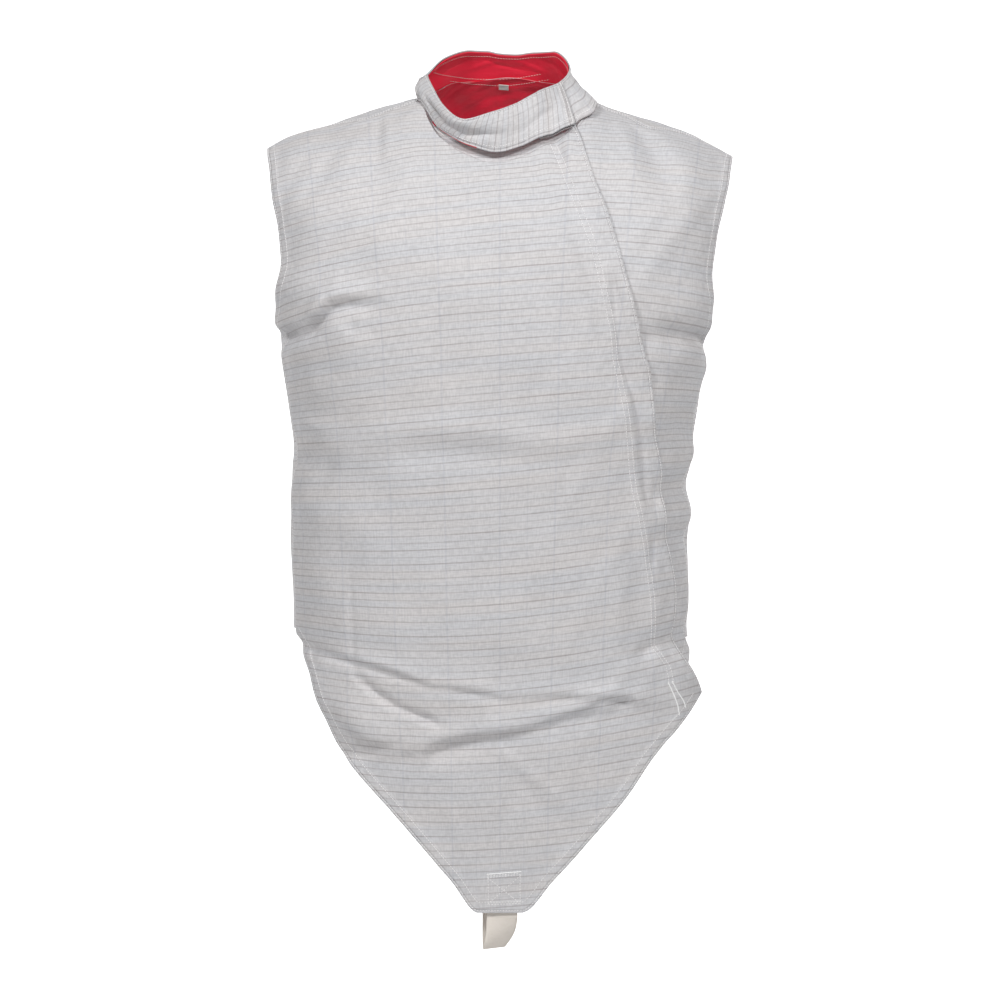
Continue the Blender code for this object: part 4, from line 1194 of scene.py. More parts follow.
# Noises of the cloth, by how often they repeat in a metre
WAVER_SCALE, PUCKER_SCALE, WRINKLE_SCALE = 16.0, 95.0, 26.0
UNEVEN_SCALE = (9.0, 90.0, 1.0)
TINT_SCALE = (5.0, 60.0, 1.0)
WEAVE_SCALES = ((620.0, 120.0, 1.0), (120.0, 620.0, 1.0))

# Reliefs of the cloth, and the distances from its edge over which a relief ends
TURN_RELIEF, TURN_END = 0.3 * MM, (10.5 * MM, 12.5 * MM)
GROOVE_RELIEF, GROOVE_HALF = -0.6 * MM, 1.6 * MM
PUCKER_RELIEF, PUCKER_END = 2.2 * MM, (2 * MM, 18 * MM)
WRINKLE_RELIEF = 1.6 * MM
INSIDE_TURN = (10.5 * MM, 11.5 * MM)
WEAVE_RELIEF = 0.05 * MM
STRIPE_RELIEF = -0.08 * MM


def colour(code):
    """Linear colour of an sRGB code."""
    values = [int(code[i:i + 2], 16) / 255 for i in (0, 2, 4)]
    linear = [v / 12.92 if v <= 0.04045 else ((v + 0.055) / 1.055) ** 2.4 for v in values]
    return (*linear, 1.0)


def add_node(tree, kind, *values, **settings):
    """First output of a new node, with its inputs in their order as values or as links."""
    node = tree.nodes.new(kind)
    for name, value in settings.items():
        setattr(node, name, value)
    for socket, value in zip(node.inputs, values):
        if isinstance(value, bpy.types.NodeSocket):
            tree.links.new(value, socket)
        elif value is not None:
            socket.default_value = value
    return node.outputs[0] if node.outputs else None


def ready_material(name):
    """The material of that name, its node tree and its shader. No tree if it was there before."""
    if name in bpy.data.materials:
        return bpy.data.materials[name], None, None
    material = bpy.data.materials.new(name)
    material.use_nodes = True
    tree = material.node_tree
    return material, tree, tree.nodes["Principled BSDF"]


def add_relief(tree, shader, height):
    """Bump on a shader, from a height in metres."""
    bump = add_node(tree, "ShaderNodeBump", 1.0, 1.0)
    tree.links.new(height, bump.node.inputs["Height"])
    tree.links.new(bump, shader.inputs["Normal"])


def lame_material(settings):
    """Metallic cloth: thin stripes along the grain, alternately strong and weak."""
    material, tree, shader = ready_material("metallic cloth")
    if not tree:
        return material
    maths = partial(add_node, tree, "ShaderNodeMath")
    ramp = partial(add_node, tree, "ShaderNodeMapRange", interpolation_type="SMOOTHSTEP")
    noise = partial(add_node, tree, "ShaderNodeTexNoise")
    scaled = partial(add_node, tree, "ShaderNodeVectorMath", operation="MULTIPLY")
    mixed = partial(add_node, tree, "ShaderNodeMixRGB")
    times = partial(maths, operation="MULTIPLY")
    place_on = add_node(tree, "ShaderNodeUVMap", uv_map="cloth")
    spot = add_node(tree, "ShaderNodeTexCoord").node.outputs["Object"]
    round_way, up_way, _ = add_node(tree, "ShaderNodeSeparateXYZ", place_on).node.outputs

    def lines(way, pitch, fade, strengths):
        """Lines at a pitch, and their strength, which is less on each second one."""
        count = maths(way, pitch, operation="DIVIDE")
        line = ramp(maths(count, 0.5, operation="PINGPONG"), *fade, 1.0, 0.0)
        halved = maths(times(count, 0.5), 0.5, operation="PINGPONG")
        return line, ramp(halved, 0.0, 0.5, *strengths)

    # Stripes waver by a fraction of a millimetre, and are uneven along their way
    waver = noise(spot, None, WAVER_SCALE, 2.0)
    waver = maths(waver, STRIPE_WAVER, -STRIPE_WAVER / 2, operation="MULTIPLY_ADD")
    line, strength = lines(
        maths(up_way, waver), settings.stripe_pitch, STRIPE_FADE, STRIPE_STRENGTHS
    )
    uneven = noise(scaled(place_on, UNEVEN_SCALE), None, 1.0, 2.0)
    stripe = times(line, times(strength, ramp(uneven, 0.3, 0.7, 0.5, 1.0)))

    # The weave is finer than this in the real cloth, about 0.3 mm, and is drawn coarser
    weave = maths(*(noise(scaled(place_on, scale), None, 1.0, 1.0) for scale in WEAVE_SCALES))
    tint = ramp(noise(scaled(place_on, TINT_SCALE), None, 1.0, 2.0), 0.3, 0.7, 0.0, 1.0)

    # Faint upright lines across the cloth
    upright = times(*lines(round_way, UPRIGHT_PITCH, UPRIGHT_FADE, UPRIGHT_STRENGTHS))

    cloth = mixed(tint, *(colour(code) for code in CLOTH_TINTS))
    cloth = mixed(stripe, cloth, colour(STRIPE_COLOUR))
    cloth = mixed(upright, cloth, colour(UPRIGHT_COLOUR))
    shade = add_node(tree, "ShaderNodeCombineXYZ", *[ramp(weave, 0.75, 1.25, *WEAVE_SHADES)] * 3)
    tree.links.new(scaled(cloth, shade), shader.inputs["Base Color"])
    shader.inputs["Metallic"].default_value = settings.metal
    shader.inputs["Roughness"].default_value = settings.roughness

    # Turned edges: a step where they end, a sewn groove, and puckers that fade inwards
    edge = add_node(tree, "ShaderNodeAttribute", attribute_name="edge").node.outputs["Fac"]
    doubled = ramp(edge, *TURN_END, TURN_RELIEF, 0.0)
    off_row = maths(maths(edge, EDGE_ROW, operation="SUBTRACT"), operation="ABSOLUTE")
    groove = ramp(off_row, 0.0, GROOVE_HALF, GROOVE_RELIEF, 0.0)
    fading = ramp(edge, *PUCKER_END, PUCKER_RELIEF, 0.0)
    pucker = times(noise(spot, None, PUCKER_SCALE, 2.0), fading)
    wrinkle = times(noise(spot, None, WRINKLE_SCALE, 4.0), WRINKLE_RELIEF)
    height = maths(maths(doubled, groove), maths(pucker, wrinkle))
    height = maths(weave, WEAVE_RELIEF, height, operation="MULTIPLY_ADD")
    height = maths(stripe, STRIPE_RELIEF, height, operation="MULTIPLY_ADD")
    add_relief(tree, shader, height)
    return material


def plain_material(name, code, roughness, grain, grain_height):
    """A cloth of one colour with a fine relief: its grain in metres, round and up the cloth."""
    material, tree, shader = ready_material(name)
    if not tree:
        return material
    place_on = add_node(tree, "ShaderNodeUVMap", uv_map="cloth")
    scale = (1 / grain[0], 1 / grain[1], 1.0)
    fine = add_node(tree, "ShaderNodeVectorMath", place_on, scale, operation="MULTIPLY")
    relief = add_node(tree, "ShaderNodeTexNoise", fine, None, 1.0, 2.0)
    height = add_node(tree, "ShaderNodeMath", relief, grain_height, operation="MULTIPLY")
    add_relief(tree, shader, height)
    shader.inputs["Base Color"].default_value = colour(code)
    shader.inputs["Roughness"].default_value = roughness
    return material


def lining_material():
    """Smooth red nylon with a satin face."""
    return plain_material("red nylon lining", LINING_RED, 0.36, (0.02, 0.004), 0.0003)


def inside_material():
    """The collar bands' inside: red lining, with the outer cloth turned in along its edges."""
    material, tree, shader = ready_material("red lining with a turned edge")
    if not tree:
        return material
    edge = add_node(tree, "ShaderNodeAttribute", attribute_name="edge").node.outputs["Fac"]
    turned = add_node(tree, "ShaderNodeMapRange", edge, *INSIDE_TURN, 1.0, 0.0)
    tints = (colour(LINING_RED), colour(TURNED_CLOTH))
    both = add_node(tree, "ShaderNodeMixRGB", turned, *tints)
    tree.links.new(both, shader.inputs["Base Color"])
    shader.inputs["Roughness"].default_value = 0.5
    return material


def webbing_material():
    """Woven off-white webbing: ribs across it, drawn at 2 mm."""
    return plain_material("off-white webbing", WEBBING, 0.8, (0.004, 0.0016), 0.0005)


def tape_material():
    """Woven white tape, bare."""
    return plain_material("white label tape", TAPE, 0.7, (0.0015, 0.0008), 0.0002)


def plain_shader(name, code, roughness):
    """Thread or another plain finish."""
    material, tree, shader = ready_material(name)
    if tree:
        shader.inputs["Base Color"].default_value = colour(code)
        shader.inputs["Roughness"].default_value = roughness
    return material


def panel_cloth(settings):
    """The three body panels, each the same cloth on both sides."""
    makers = {
        "main_front": main_front_panel,
        "left_side_front": left_side_panel,
        "back": back_panel,
    }
    for node, make in makers.items():
        columns, places = make(settings.step)
        materials = (lame_material(settings),)
        piece = new_sheet(f"{node}_cloth", columns, places, materials, settings.wall)
        settle(piece, node, "lame_cloth", *CUTS[node])


def grid_places(grid, swapped):
    """Places on the cloth of a band's grid. Swapped ones have their stripes up the band."""
    along, up = np.meshgrid(lengths_along(grid, 0), lengths_along(grid, 1), indexing="ij")
    return np.stack([up, along] if swapped else [along, up], axis=-1)


def front_band(step):
    """Outer points of the front collar."""
    return moved_out(band(front_spots(step), COLLAR_SHARES, FRONT_CREASES), WALL)


def back_band(step):
    """Outer points of the back collar."""
    return moved_out(band(back_spots(step), COLLAR_SHARES, BACK_CREASES, tucked=True), WALL)


def show_lining(piece, grid):
    """A thin line of lining shows below part of the front collar's lower edge."""
    piece.data.materials.append(lining_material())
    last = len(piece.data.materials) - 1
    for face in piece.data.polygons:
        column, row = divmod(min(face.vertices), COLLAR_ROWS + 1)
        if row == 0 and LINING_SHOWS[0] < grid[column, 0, 0] < LINING_SHOWS[1]:
            face.material_index = last


def collar_cloth(settings):
    """Both collar bands. The front one's stripes run up it, and the back one's round it."""
    materials = (lame_material(settings), inside_material())
    for name, grid in (("front", front_band(settings.step)), ("back", back_band(settings.step))):
        places = grid_places(grid, name == "front")
        if name == "front":
            places = places * (settings.stripe_pitch / FRONT_COLLAR_PITCH)
        piece = new_sheet(f"{name}_collar_cloth", list(grid), list(places), materials, settings.wall)
        settle(piece, f"{name}_collar", "lame_cloth", *CUTS[f"{name}_collar"])
        if name == "front":
            show_lining(piece, grid)


def lining_band(step):
    """Outer points of the collar lining, which stops short of the back collar's flared lip."""
    spots = back_spots(step)
    start = LINING_START * (1 - smooth_step((spots["degrees"] - FLARE_END) / FLARE_FADE))
    shares = between(start[:, None], LINING_END, np.linspace(0.0, 1.0, LINING_POINTS))
    return moved_out(band(spots, shares, LINING_CREASES, tucked=True), -LINING_GAP)


def neck_lining_grid(step):
    """Outer points of the back neck lining, in columns that follow the back's own."""
    turns = np.linspace(math.pi / 6, math.pi / 2, count_of(NECK_LINING_LENGTH, step) + 1)
    left, right = (neck_columns(sign, "back", turns) for sign in (1, -1))
    round_wave, up_wave, slow_wave = NECK_LINING_WAVES
    columns = []
    for arounds in (left, right[::-1][1:]):
        top = meet(still(arounds), back_top, TOP_REACH)
        low = between(ARMHOLE_RISE, top, NECK_LINING_LOW)
        levels = np.linspace(low, top + NECK_LINING_TUCK, NECK_LINING_POINTS)
        around = arounds + 0.0 * levels
        folds = np.sin(around * round_wave + levels * up_wave) * np.sin(levels * slow_wave)
        points = cloth_point(around, levels, NECK_LINING_FOLD * folds - 2 * SEAM_GAP)
        columns += list(np.swapaxes(points, 0, 1))
    return np.array(columns)


def lining_cloth(settings):
    """Red linings of the collar and of the back neck."""
    grids = {"collar_lining": lining_band(settings.step)}
    grids["back_neck_lining"] = neck_lining_grid(settings.step)
    for node, grid in grids.items():
        places = grid_places(grid, False)
        materials = (lining_material(),)
        wall = LINING_WALL if node == "collar_lining" else NECK_LINING_WALL
        piece = new_sheet(f"{node}_cloth", list(grid), list(places), materials, wall)
        settle(piece, node, "red_lining", *CUTS[node])


def size_label_tab(settings):
    """A bare tab that hangs inside the back neck, on the lining."""
    centre = BACK_CENTRE[1]
    side = float(neck_columns(1, "back", LABEL_SIDE_TURN))
    tops = [meet(still(np.array([at])), back_top, TOP_REACH)[0] for at in (centre, side)]
    lift = -2 * SEAM_GAP
    low = tops[0] - (tops[0] - ARMHOLE_RISE) * LABEL_DROP_SHARE
    rises = np.array([low, tops[0] + lift, tops[1] + lift])
    arounds = np.array([centre, centre, side])
    low_point, high_point, side_point = body_point(arounds, rises) + outward(arounds, rises) * lift
    down = unit(low_point - high_point)
    across = side_point - high_point
    across = unit(across - down * (across @ down))
    out = np.cross(across, down)
    corner = high_point - out * (LINING_WALL + LABEL_GAP) + across * LABEL_LEFT
    ways = np.linspace(LABEL_WIDTH, 0.0, 13)[:, None, None]
    drops = np.linspace(LABEL_TOP + LABEL_DROP, LABEL_TOP, 11)[None, :, None]
    bow = LABEL_BOW * np.sin(drops * LABEL_WAVES[0]) * np.sin(ways * LABEL_WAVES[1])
    grid = corner + across * ways + down * drops - out * (LABEL_AWAY + bow)
    places = list(grid_places(grid, False))
    piece = new_sheet("size_label_tab", list(grid), places, (tape_material(),), LABEL_WALL)
    settle(piece, "size_label", "white_tape", *CUTS["size_label"])


def strap_grid(rows, columns):
    """Middle points of the crotch strap, from the front's point to the back hem."""
    path = np.array(STRAP_PATH)
    at = np.linspace(0.0, len(path) - 1, rows)
    i = np.minimum(at.astype(int), len(path) - 2)
    part = (at - i)[:, None]
    before, here, after, past = (path[np.clip(i + k, 0, len(path) - 1)] for k in (-1, 0, 1, 2))
    curve = (
        before * (-part + 2 * part ** 2 - part ** 3)
        + here * (2 - 5 * part ** 2 + 3 * part ** 3)
        + after * (part + 4 * part ** 2 - 3 * part ** 3)
        + past * (part ** 3 - part ** 2)
    ) / 2
    turn = np.radians(curve[:, 3])
    way = np.stack([np.cos(turn), np.sin(turn), 0 * turn], axis=-1)
    sides = np.linspace(0.5, -0.5, columns)[:, None, None] * STRAP_WIDTH
    return curve[None, :, :3] * MM + way[None] * sides


def strap_webbing(settings):
    """Webbing from the point of the front, between the legs, to the back hem."""
    grid = moved_out(strap_grid(*STRAP_POINTS), STRAP_WALL / 2)
    places = list(grid_places(grid, False))
    piece = new_sheet("crotch_strap_webbing", list(grid), places, (webbing_material(),), STRAP_WALL)
    settle(piece, "crotch_strap", "webbing", *CUTS["crotch_strap"])


# Stitched rows of the flap beside its free edge, and the bar tacks at the corner of its wing
FLAP_ROW = table(
    "height across",
    (-40, 46), (-52, 51.7), (-110.5, 74), (-156, 90.3), (-197, 100), (-245, 109.4), (-297.5, 118),
    (-385.5, 129), (-452.5, 141), (-497, 147), (-523.5, 148), (-537, 149), (-551, 155),
    (-565.5, 163), (-579, 166),
)
FLAP_ROWS_APART = 5 * MM
HEAVY_ROWS = (
    ((164, -580), (169, -590.5), (172, -601), (174, -611)),
    ((167, -579), (172, -588), (178, -598), (180, -604)),
)
TIP_BOX = (
    ((-11.5, -766), (19.5, -763.5), (19.5, -793), (-11.5, -794), (-11.5, -766)),
    ((-11.5, -767.5), (19.5, -765)),
    ((-11.5, -768), (19.5, -793)),
    ((19.5, -766), (-11.5, -793)),
)

# Sewn rows across the inside of the back neck: places across, and their heights
LINING_SEAMS = (
    ((-68, -33, 0, 17, 41), (30, 27, 26.5, 27.5, 31)),
    ((-52, -30, 4, 26, 50), (24, 22, 20.5, 22.5, 25.5)),
)
EDGE_ROW = 2.3 * MM
HEM_ROW = 10.5 * MM
SEAM_ROW = 2.6 * MM
LINE_STEP = 2.5 * MM
HEM_CORNER = 0.92
HEM_POINTS, ARMHOLE_POINTS, SEAM_POINTS, UPRIGHT_POINTS = 160, 60, 110, 320

# Shares of the collar's and lining's height, distances from the front collar's free end, and
# columns left out where another piece covers the row
FRONT_COLLAR_ROWS = (0.14, 0.95)
BACK_COLLAR_ROWS = (0.10, 0.95)
LINING_ROW = 0.88
END_ROWS = (2.5 * MM, 7.5 * MM)
COVERED_BACK, COVERED_LINING = 12, 8
TIP_BAR = ((-12, -764.5), (20, -762))

# Lining and threads, and how much heavier the bar tacks are sewn
LINING_RED = "F82E48"
THREAD = "F6F4F4"
LINING_THREAD = "F2CFCB"
TACK_THREAD = "FFFFFF"
HEAVY_WEIGHT = 1.9

# Camera and lamps: name, place, size and share of the power
MIDDLE = -0.4
CAMERA_AWAY = 4.0
LAMPS = (
    ("Left key lamp", (-1.45, -2.1, 1.5), 0.5, 0.5),
    ("Right key lamp", (1.4, -2.2, 1.5), 0.5, 0.55),
    ("Top lamp", (0.0, -0.2, 2.6), 1.0, 0.05),
)


# Backdrop: near edge of its floor, where it is lit from, where it bends up and by what radius,
# top of its wall above the floor, and half its width
FLOOR_NEAR, FLOOR_LIT, FLOOR_BEND = -9.0, 2.4, 6.4
BEND_RADIUS = 1.2
BEND_POINTS = 25
WALL_TOP = 7.0
BACKDROP_HALF = 8.0


def spread(line, step=LINE_STEP):
    """Places along a line of the cloth, about a step apart."""
    line = np.asarray(line, float)
    lengths = np.concatenate([[0.0], np.cumsum(np.hypot(*np.diff(line, axis=0).T))])
    at = np.linspace(0.0, lengths[-1], count_of(lengths[-1], step) + 1)
    return np.stack([np.interp(at, lengths, line[:, k]) for k in (0, 1)], axis=1)


def beside(line, distance):
    """A line of the cloth moved to its left."""
    ways = unit(np.gradient(line, axis=0))
    return line + np.stack([-ways[:, 1], ways[:, 0]], axis=1) * distance


def on_cloth(line, lift_of=None):
    """Points of a line on a panel's outer face."""
    around, rise = spread(line).T
    lift = lift_of(around, rise) if lift_of else 0.0
    return cloth_point(around, rise, lift + WALL + 0.0 * rise)


def seen_line(corners):
    """A line through places seen from the front, in mm."""
    line = spread(np.array(corners) * MM)
    return np.stack(place(line[:, 0], line[:, 1], "front"), axis=1)


def hem_lines(hem_of, start, end):
    """The two sewn rows along a hem, cut short at its corners."""
    around = np.linspace(start, end, HEM_POINTS)
    hem = np.stack([around, hem_of(around)], axis=1)
    rows = []
    for distance in (EDGE_ROW, HEM_ROW):
        row = beside(hem, distance)[2:-2]
        away = np.linalg.norm(row[:, None] - hem[None], axis=2).min(axis=1)
        rows.append(row[away > HEM_CORNER * distance])
    return rows


def armhole_lines(sign, face):
    """The two sewn rows along a panel's side of the armhole, from the side seam up."""
    side = SIDE_SEAM[sign]
    under = armhole_columns(sign, side, 1.0 if face == "front" else -1.0, ARMHOLE_POINTS)
    curve = np.stack([under, armhole_rise(under, sign)], axis=1)
    top = float(seam_rise(ARMHOLE[sign, face], face))
    upright = np.linspace(ARMHOLE_RISE, top, ARMHOLE_POINTS)[1:]
    edge = np.stack([0 * upright + ARMHOLE[sign, face], upright], axis=1)
    line = np.concatenate([curve, edge])
    way = -1.0 if under[-1] > under[0] else 1.0
    return [beside(line, way * distance)[1:-1] for distance in (EDGE_ROW, HEM_ROW)]


def side_seam_line(sign, hem_of, distance):
    """A sewn row beside a side seam, up to the armhole."""
    around = SIDE_SEAM[sign] + distance
    low = float(hem_of(np.array([around]))[0]) + EDGE_ROW
    high = float(armhole_rise(around, sign)) - EDGE_ROW
    rise = np.linspace(low, high, SEAM_POINTS)
    return np.stack([around + 0 * rise, rise], axis=1)


def shoulder_line(sign, face):
    """A sewn row beside the shoulder seam."""
    arounds = shoulder_columns(sign, face, ARMHOLE_POINTS)
    return np.stack([arounds, seam_rise(arounds, face) - SEAM_ROW], axis=1)[1:-1]


def upright_line(around_of, low):
    """A line up from a height, below the neck edge, that keeps to given lengths round."""
    top = float(meet(lambda rise: around_of(rise + np.zeros(1)), front_top, TOP_REACH)[0])
    rise = np.linspace(low, top - RECESS_START - RECESS_WIDTH, UPRIGHT_POINTS)
    return np.stack([around_of(rise), rise], axis=1)


def main_front_rows():
    """Sewn rows of the main front."""
    flap = edge_table(FLAP_ROW, "front", 1)
    lines = hem_lines(main_hem, SIDE_SEAM[-1] + SEAM_ROW, MAIN_EDGE["around"][-1] - EDGE_ROW)
    lines += armhole_lines(-1, "front")
    lines.append(side_seam_line(-1, main_hem, SEAM_ROW))
    lines.append(shoulder_line(-1, "front"))
    lines.append(upright_line(lambda rise: free_edge(rise) - EDGE_ROW, FREE["rise"][0]))
    for apart in (-0.5, 0.5):
        def around_of(rise, apart=apart):
            return read(flap, "rise", "around", rise) + apart * FLAP_ROWS_APART
        lines.append(upright_line(around_of, flap["rise"][0]))
    lines += [seen_line(corners) for corners in TIP_BOX]
    return [on_cloth(line, flap_lift) for line in lines]


def left_side_rows():
    """Sewn rows of the left side front. Its hem shows only beyond the flap."""
    hems = hem_lines(side_hem, SIDE_EDGE["around"][0] + EDGE_ROW, SIDE_SEAM[1] - SEAM_ROW)
    hems = [row[row[:, 0] > free_edge(row[:, 1]) + EDGE_ROW] for row in hems]
    lines = [row for row in hems if len(row) > 3]
    lines += armhole_lines(1, "front")
    lines.append(side_seam_line(1, side_hem, -SEAM_ROW))
    lines.append(shoulder_line(1, "front"))
    return [on_cloth(line) for line in lines]


def back_rows():
    """Sewn rows of the back."""
    lines = []
    for sign in SIDES:
        ends = sorted((SIDE_SEAM[sign] + sign * SEAM_ROW, BACK_CENTRE[sign]))
        lines += hem_lines(back_hem, *ends)
        lines += armhole_lines(sign, "back")
        lines.append(side_seam_line(sign, back_hem, sign * SEAM_ROW))
        lines.append(shoulder_line(sign, "back"))
    return [on_cloth(line) for line in lines]


def band_row(grid, share):
    """Points round a band at a share of its height."""
    at = share * (grid.shape[1] - 1)
    low = min(int(at), grid.shape[1] - 2)
    return between(grid[:, low], grid[:, low + 1], at - low)


def band_end(grid, distance):
    """Points up a band at a distance from its last end."""
    lengths = lengths_along(grid, 0)
    at = np.interp(lengths[-1] - distance, lengths, np.arange(len(lengths)))
    low = min(int(at), len(grid) - 2)
    return between(grid[low], grid[low + 1], at - low)[1:-1]


def collar_rows(step):
    """Sewn rows of the collar bands: along both edges, and two beside the free end."""
    front, back = front_band(step), back_band(step)
    rows = [band_row(front, share) for share in FRONT_COLLAR_ROWS]
    rows += [band_end(front, distance) for distance in END_ROWS]
    return rows + [band_row(back, share)[COVERED_BACK:] for share in BACK_COLLAR_ROWS]


def row_at_heights(grid, across, heights):
    """Runs of points of a grid at given heights by place across, where it has them."""
    rows = np.arange(grid.shape[1])
    runs, run = [], []
    for column in grid:
        middle = column[len(rows) // 2, 0]
        target = np.interp(middle, across, heights, left=math.inf, right=math.inf)
        if column[0, 2] < target < column[-1, 2]:
            at = np.interp(target, column[:, 2], rows)
            low = min(int(at), len(rows) - 2)
            run.append(between(column[low], column[low + 1], at - low))
        elif run:
            runs.append(run)
            run = []
    return [np.array(run) for run in runs + [run] if len(run) > 1]


def lining_rows(step):
    """Sewn rows on the inner faces of the linings."""
    collar = moved_out(lining_band(step), -LINING_WALL)
    neck = moved_out(neck_lining_grid(step), -NECK_LINING_WALL)
    rows = [band_row(collar, LINING_ROW)[COVERED_LINING:]]
    for across, heights in LINING_SEAMS:
        for grid in (collar, neck):
            back = grid[grid[:, -1, 1] > 0]
            rows += row_at_heights(back, np.array(across) * MM, np.array(heights) * MM)
    return rows


def stitch_tree():
    """Nodes that lay beads of thread along lines, one a stitch."""
    if "Stitches" in bpy.data.node_groups:
        return bpy.data.node_groups["Stitches"]
    tree = bpy.data.node_groups.new("Stitches", "GeometryNodeTree")
    face = tree.interface
    face.new_socket("Lines", in_out="INPUT", socket_type="NodeSocketGeometry")
    for name in ("Pitch", "Length", "Thickness"):
        face.new_socket(name, in_out="INPUT", socket_type="NodeSocketFloat")
    face.new_socket("Thread", in_out="INPUT", socket_type="NodeSocketMaterial")
    face.new_socket("Stitches", in_out="OUTPUT", socket_type="NodeSocketGeometry")
    lines, pitch, length, thickness, thread, _ = add_node(tree, "NodeGroupInput").node.outputs
    curve = add_node(tree, "GeometryNodeMeshToCurve", lines)
    spaced = add_node(tree, "GeometryNodeResampleCurve", curve, mode="LENGTH")
    tree.links.new(pitch, spaced.node.inputs["Length"])
    tangent = add_node(tree, "GeometryNodeInputTangent")
    turn = add_node(tree, "FunctionNodeAlignRotationToVector", None, None, tangent, axis="X")
    bead = add_node(tree, "GeometryNodeMeshUVSphere", 6, 4, 0.5)
    size = add_node(tree, "ShaderNodeCombineXYZ", length, thickness, thickness)
    laid = add_node(tree, "GeometryNodeInstanceOnPoints", spaced)
    for name, socket in (("Instance", bead), ("Rotation", turn), ("Scale", size)):
        tree.links.new(socket, laid.node.inputs[name])
    real = add_node(tree, "GeometryNodeRealizeInstances", laid)
    sewn = add_node(tree, "GeometryNodeSetMaterial", real)
    tree.links.new(thread, sewn.node.inputs["Material"])
    add_node(tree, "NodeGroupOutput", sewn)
    return tree


def sew(name, rows, settings, code, weight=1.0):
    """Stitches along rows of points, as one plain mesh."""
    points = np.concatenate(rows)
    numbers = count_rows(rows)
    edges = np.concatenate([np.stack([row[:-1], row[1:]], axis=1) for row in numbers])
    mesh = bpy.data.meshes.new(f"{name} lines")
    mesh.from_pydata(points.tolist(), edges.tolist(), [])
    piece = bpy.data.objects.new(name, mesh)
    bpy.context.scene.collection.objects.link(piece)
    tree = stitch_tree()
    given = {
        "Pitch": settings.pitch / weight,
        "Length": settings.length,
        "Thickness": settings.thickness * weight,
        "Thread": plain_shader(f"sewing thread {code}", code, 0.6),
    }
    nodes = piece.modifiers.new("Stitches", "NODES")
    nodes.node_group = tree
    for socket in tree.interface.items_tree:
        if socket.in_out == "INPUT" and socket.name in given:
            nodes[socket.identifier] = given[socket.name]
    ready = piece.evaluated_get(bpy.context.evaluated_depsgraph_get())
    sewn = bpy.data.meshes.new_from_object(ready)
    if not sewn.polygons:
        raise RuntimeError(f"{name} has no stitches")
    piece.modifiers.clear()
    piece.data = sewn
    sewn.name = name
    sewn.shade_smooth()
    bpy.data.meshes.remove(mesh)
    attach(piece, "root")
    return piece


def all_stitches(settings):
    """The sewn rows of every piece."""
    step = bpy.context.scene.vest_cloth.step
    rows = {
        "main_front": main_front_rows(),
        "left_side_front": left_side_rows(),
        "back": back_rows(),
        "collar": collar_rows(step),
    }
    for name, lines in rows.items():
        sew(f"{name}_stitches", lines, settings, THREAD)
    sew("lining_stitches", lining_rows(step), settings, LINING_THREAD)
    heavy = [on_cloth(seen_line(corners), flap_lift) for corners in HEAVY_ROWS]
    heavy.append(on_cloth(seen_line(TIP_BAR), lap_lift))
    sew("tack_stitches", heavy, settings, TACK_THREAD, HEAVY_WEIGHT)


def new_light(name, place_at, aim, size, power):
    """A soft square lamp aimed at a point."""
    data = bpy.data.lights.new(name, "AREA")
    data.shape = "SQUARE"
    data.size = size
    data.energy = power
    lamp = bpy.data.objects.new(name, data)
    lamp.location = place_at
    way = Vector(aim) - Vector(place_at)
    lamp.rotation_euler = way.to_track_quat("-Z", "Y").to_euler()
    bpy.context.scene.collection.objects.link(lamp)


def backdrop(settings):
    """A pale floor, lit at its far end, that curves up into a wall well behind the vest."""
    profile = [(FLOOR_NEAR, 0.0), (FLOOR_LIT, 0.0)]
    for turn in np.linspace(0.0, math.pi / 2, BEND_POINTS):
        depth = FLOOR_BEND + BEND_RADIUS * math.sin(turn)
        profile.append((depth, BEND_RADIUS * (1 - math.cos(turn))))
    profile.append((FLOOR_BEND + BEND_RADIUS, WALL_TOP))
    sides = (-BACKDROP_HALF, BACKDROP_HALF)
    points = [(x, y, z + settings.floor) for x in sides for y, z in profile]
    count = len(profile)
    faces = [(i, i + count, i + count + 1, i + 1) for i in range(count - 1)]
    mesh = bpy.data.meshes.new("backdrop")
    mesh.from_pydata(points, [], faces)
    mesh.shade_smooth()
    mesh.materials.append(plain_shader("pale studio floor", STUDIO, 0.9))
    wall = plain_shader("lit studio wall", STUDIO, 0.9)
    shader = wall.node_tree.nodes["Principled BSDF"]
    shader.inputs["Emission Color"].default_value[:3] = (1, 1, 1)
    shader.inputs["Emission Strength"].default_value = settings.glow
    mesh.materials.append(wall)
    for face in mesh.polygons[1:]:
        face.material_index = 1
    sweep = bpy.data.objects.new("backdrop", mesh)
    bpy.context.scene.collection.objects.link(sweep)


def studio(settings):
    """Pale backdrop, soft lamps, world and the camera, level with the middle of the vest."""
    scene = bpy.context.scene
    backdrop(settings)
    for name, place_at, size, share in LAMPS:
        new_light(name, place_at, (0.0, 0.0, MIDDLE), size, settings.power * share)
    world = bpy.data.worlds.new("Studio")
    world.use_nodes = True
    world.node_tree.nodes["Background"].inputs[0].default_value = (1.0, 1.0, 1.0, 1.0)
    world.node_tree.nodes["Background"].inputs[1].default_value = settings.sky
    scene.world = world
    scene.view_settings.view_transform = "Standard"
    data = bpy.data.cameras.new("Camera")
    data.sensor_width = 36.0
    data.lens = 36.0 * CAMERA_AWAY
    camera = bpy.data.objects.new("Camera", data)
    camera.location = (0.0, -CAMERA_AWAY, MIDDLE)
    camera.rotation_euler = (math.pi / 2, 0.0, 0.0)
    scene.collection.objects.link(camera)
    scene.camera = camera


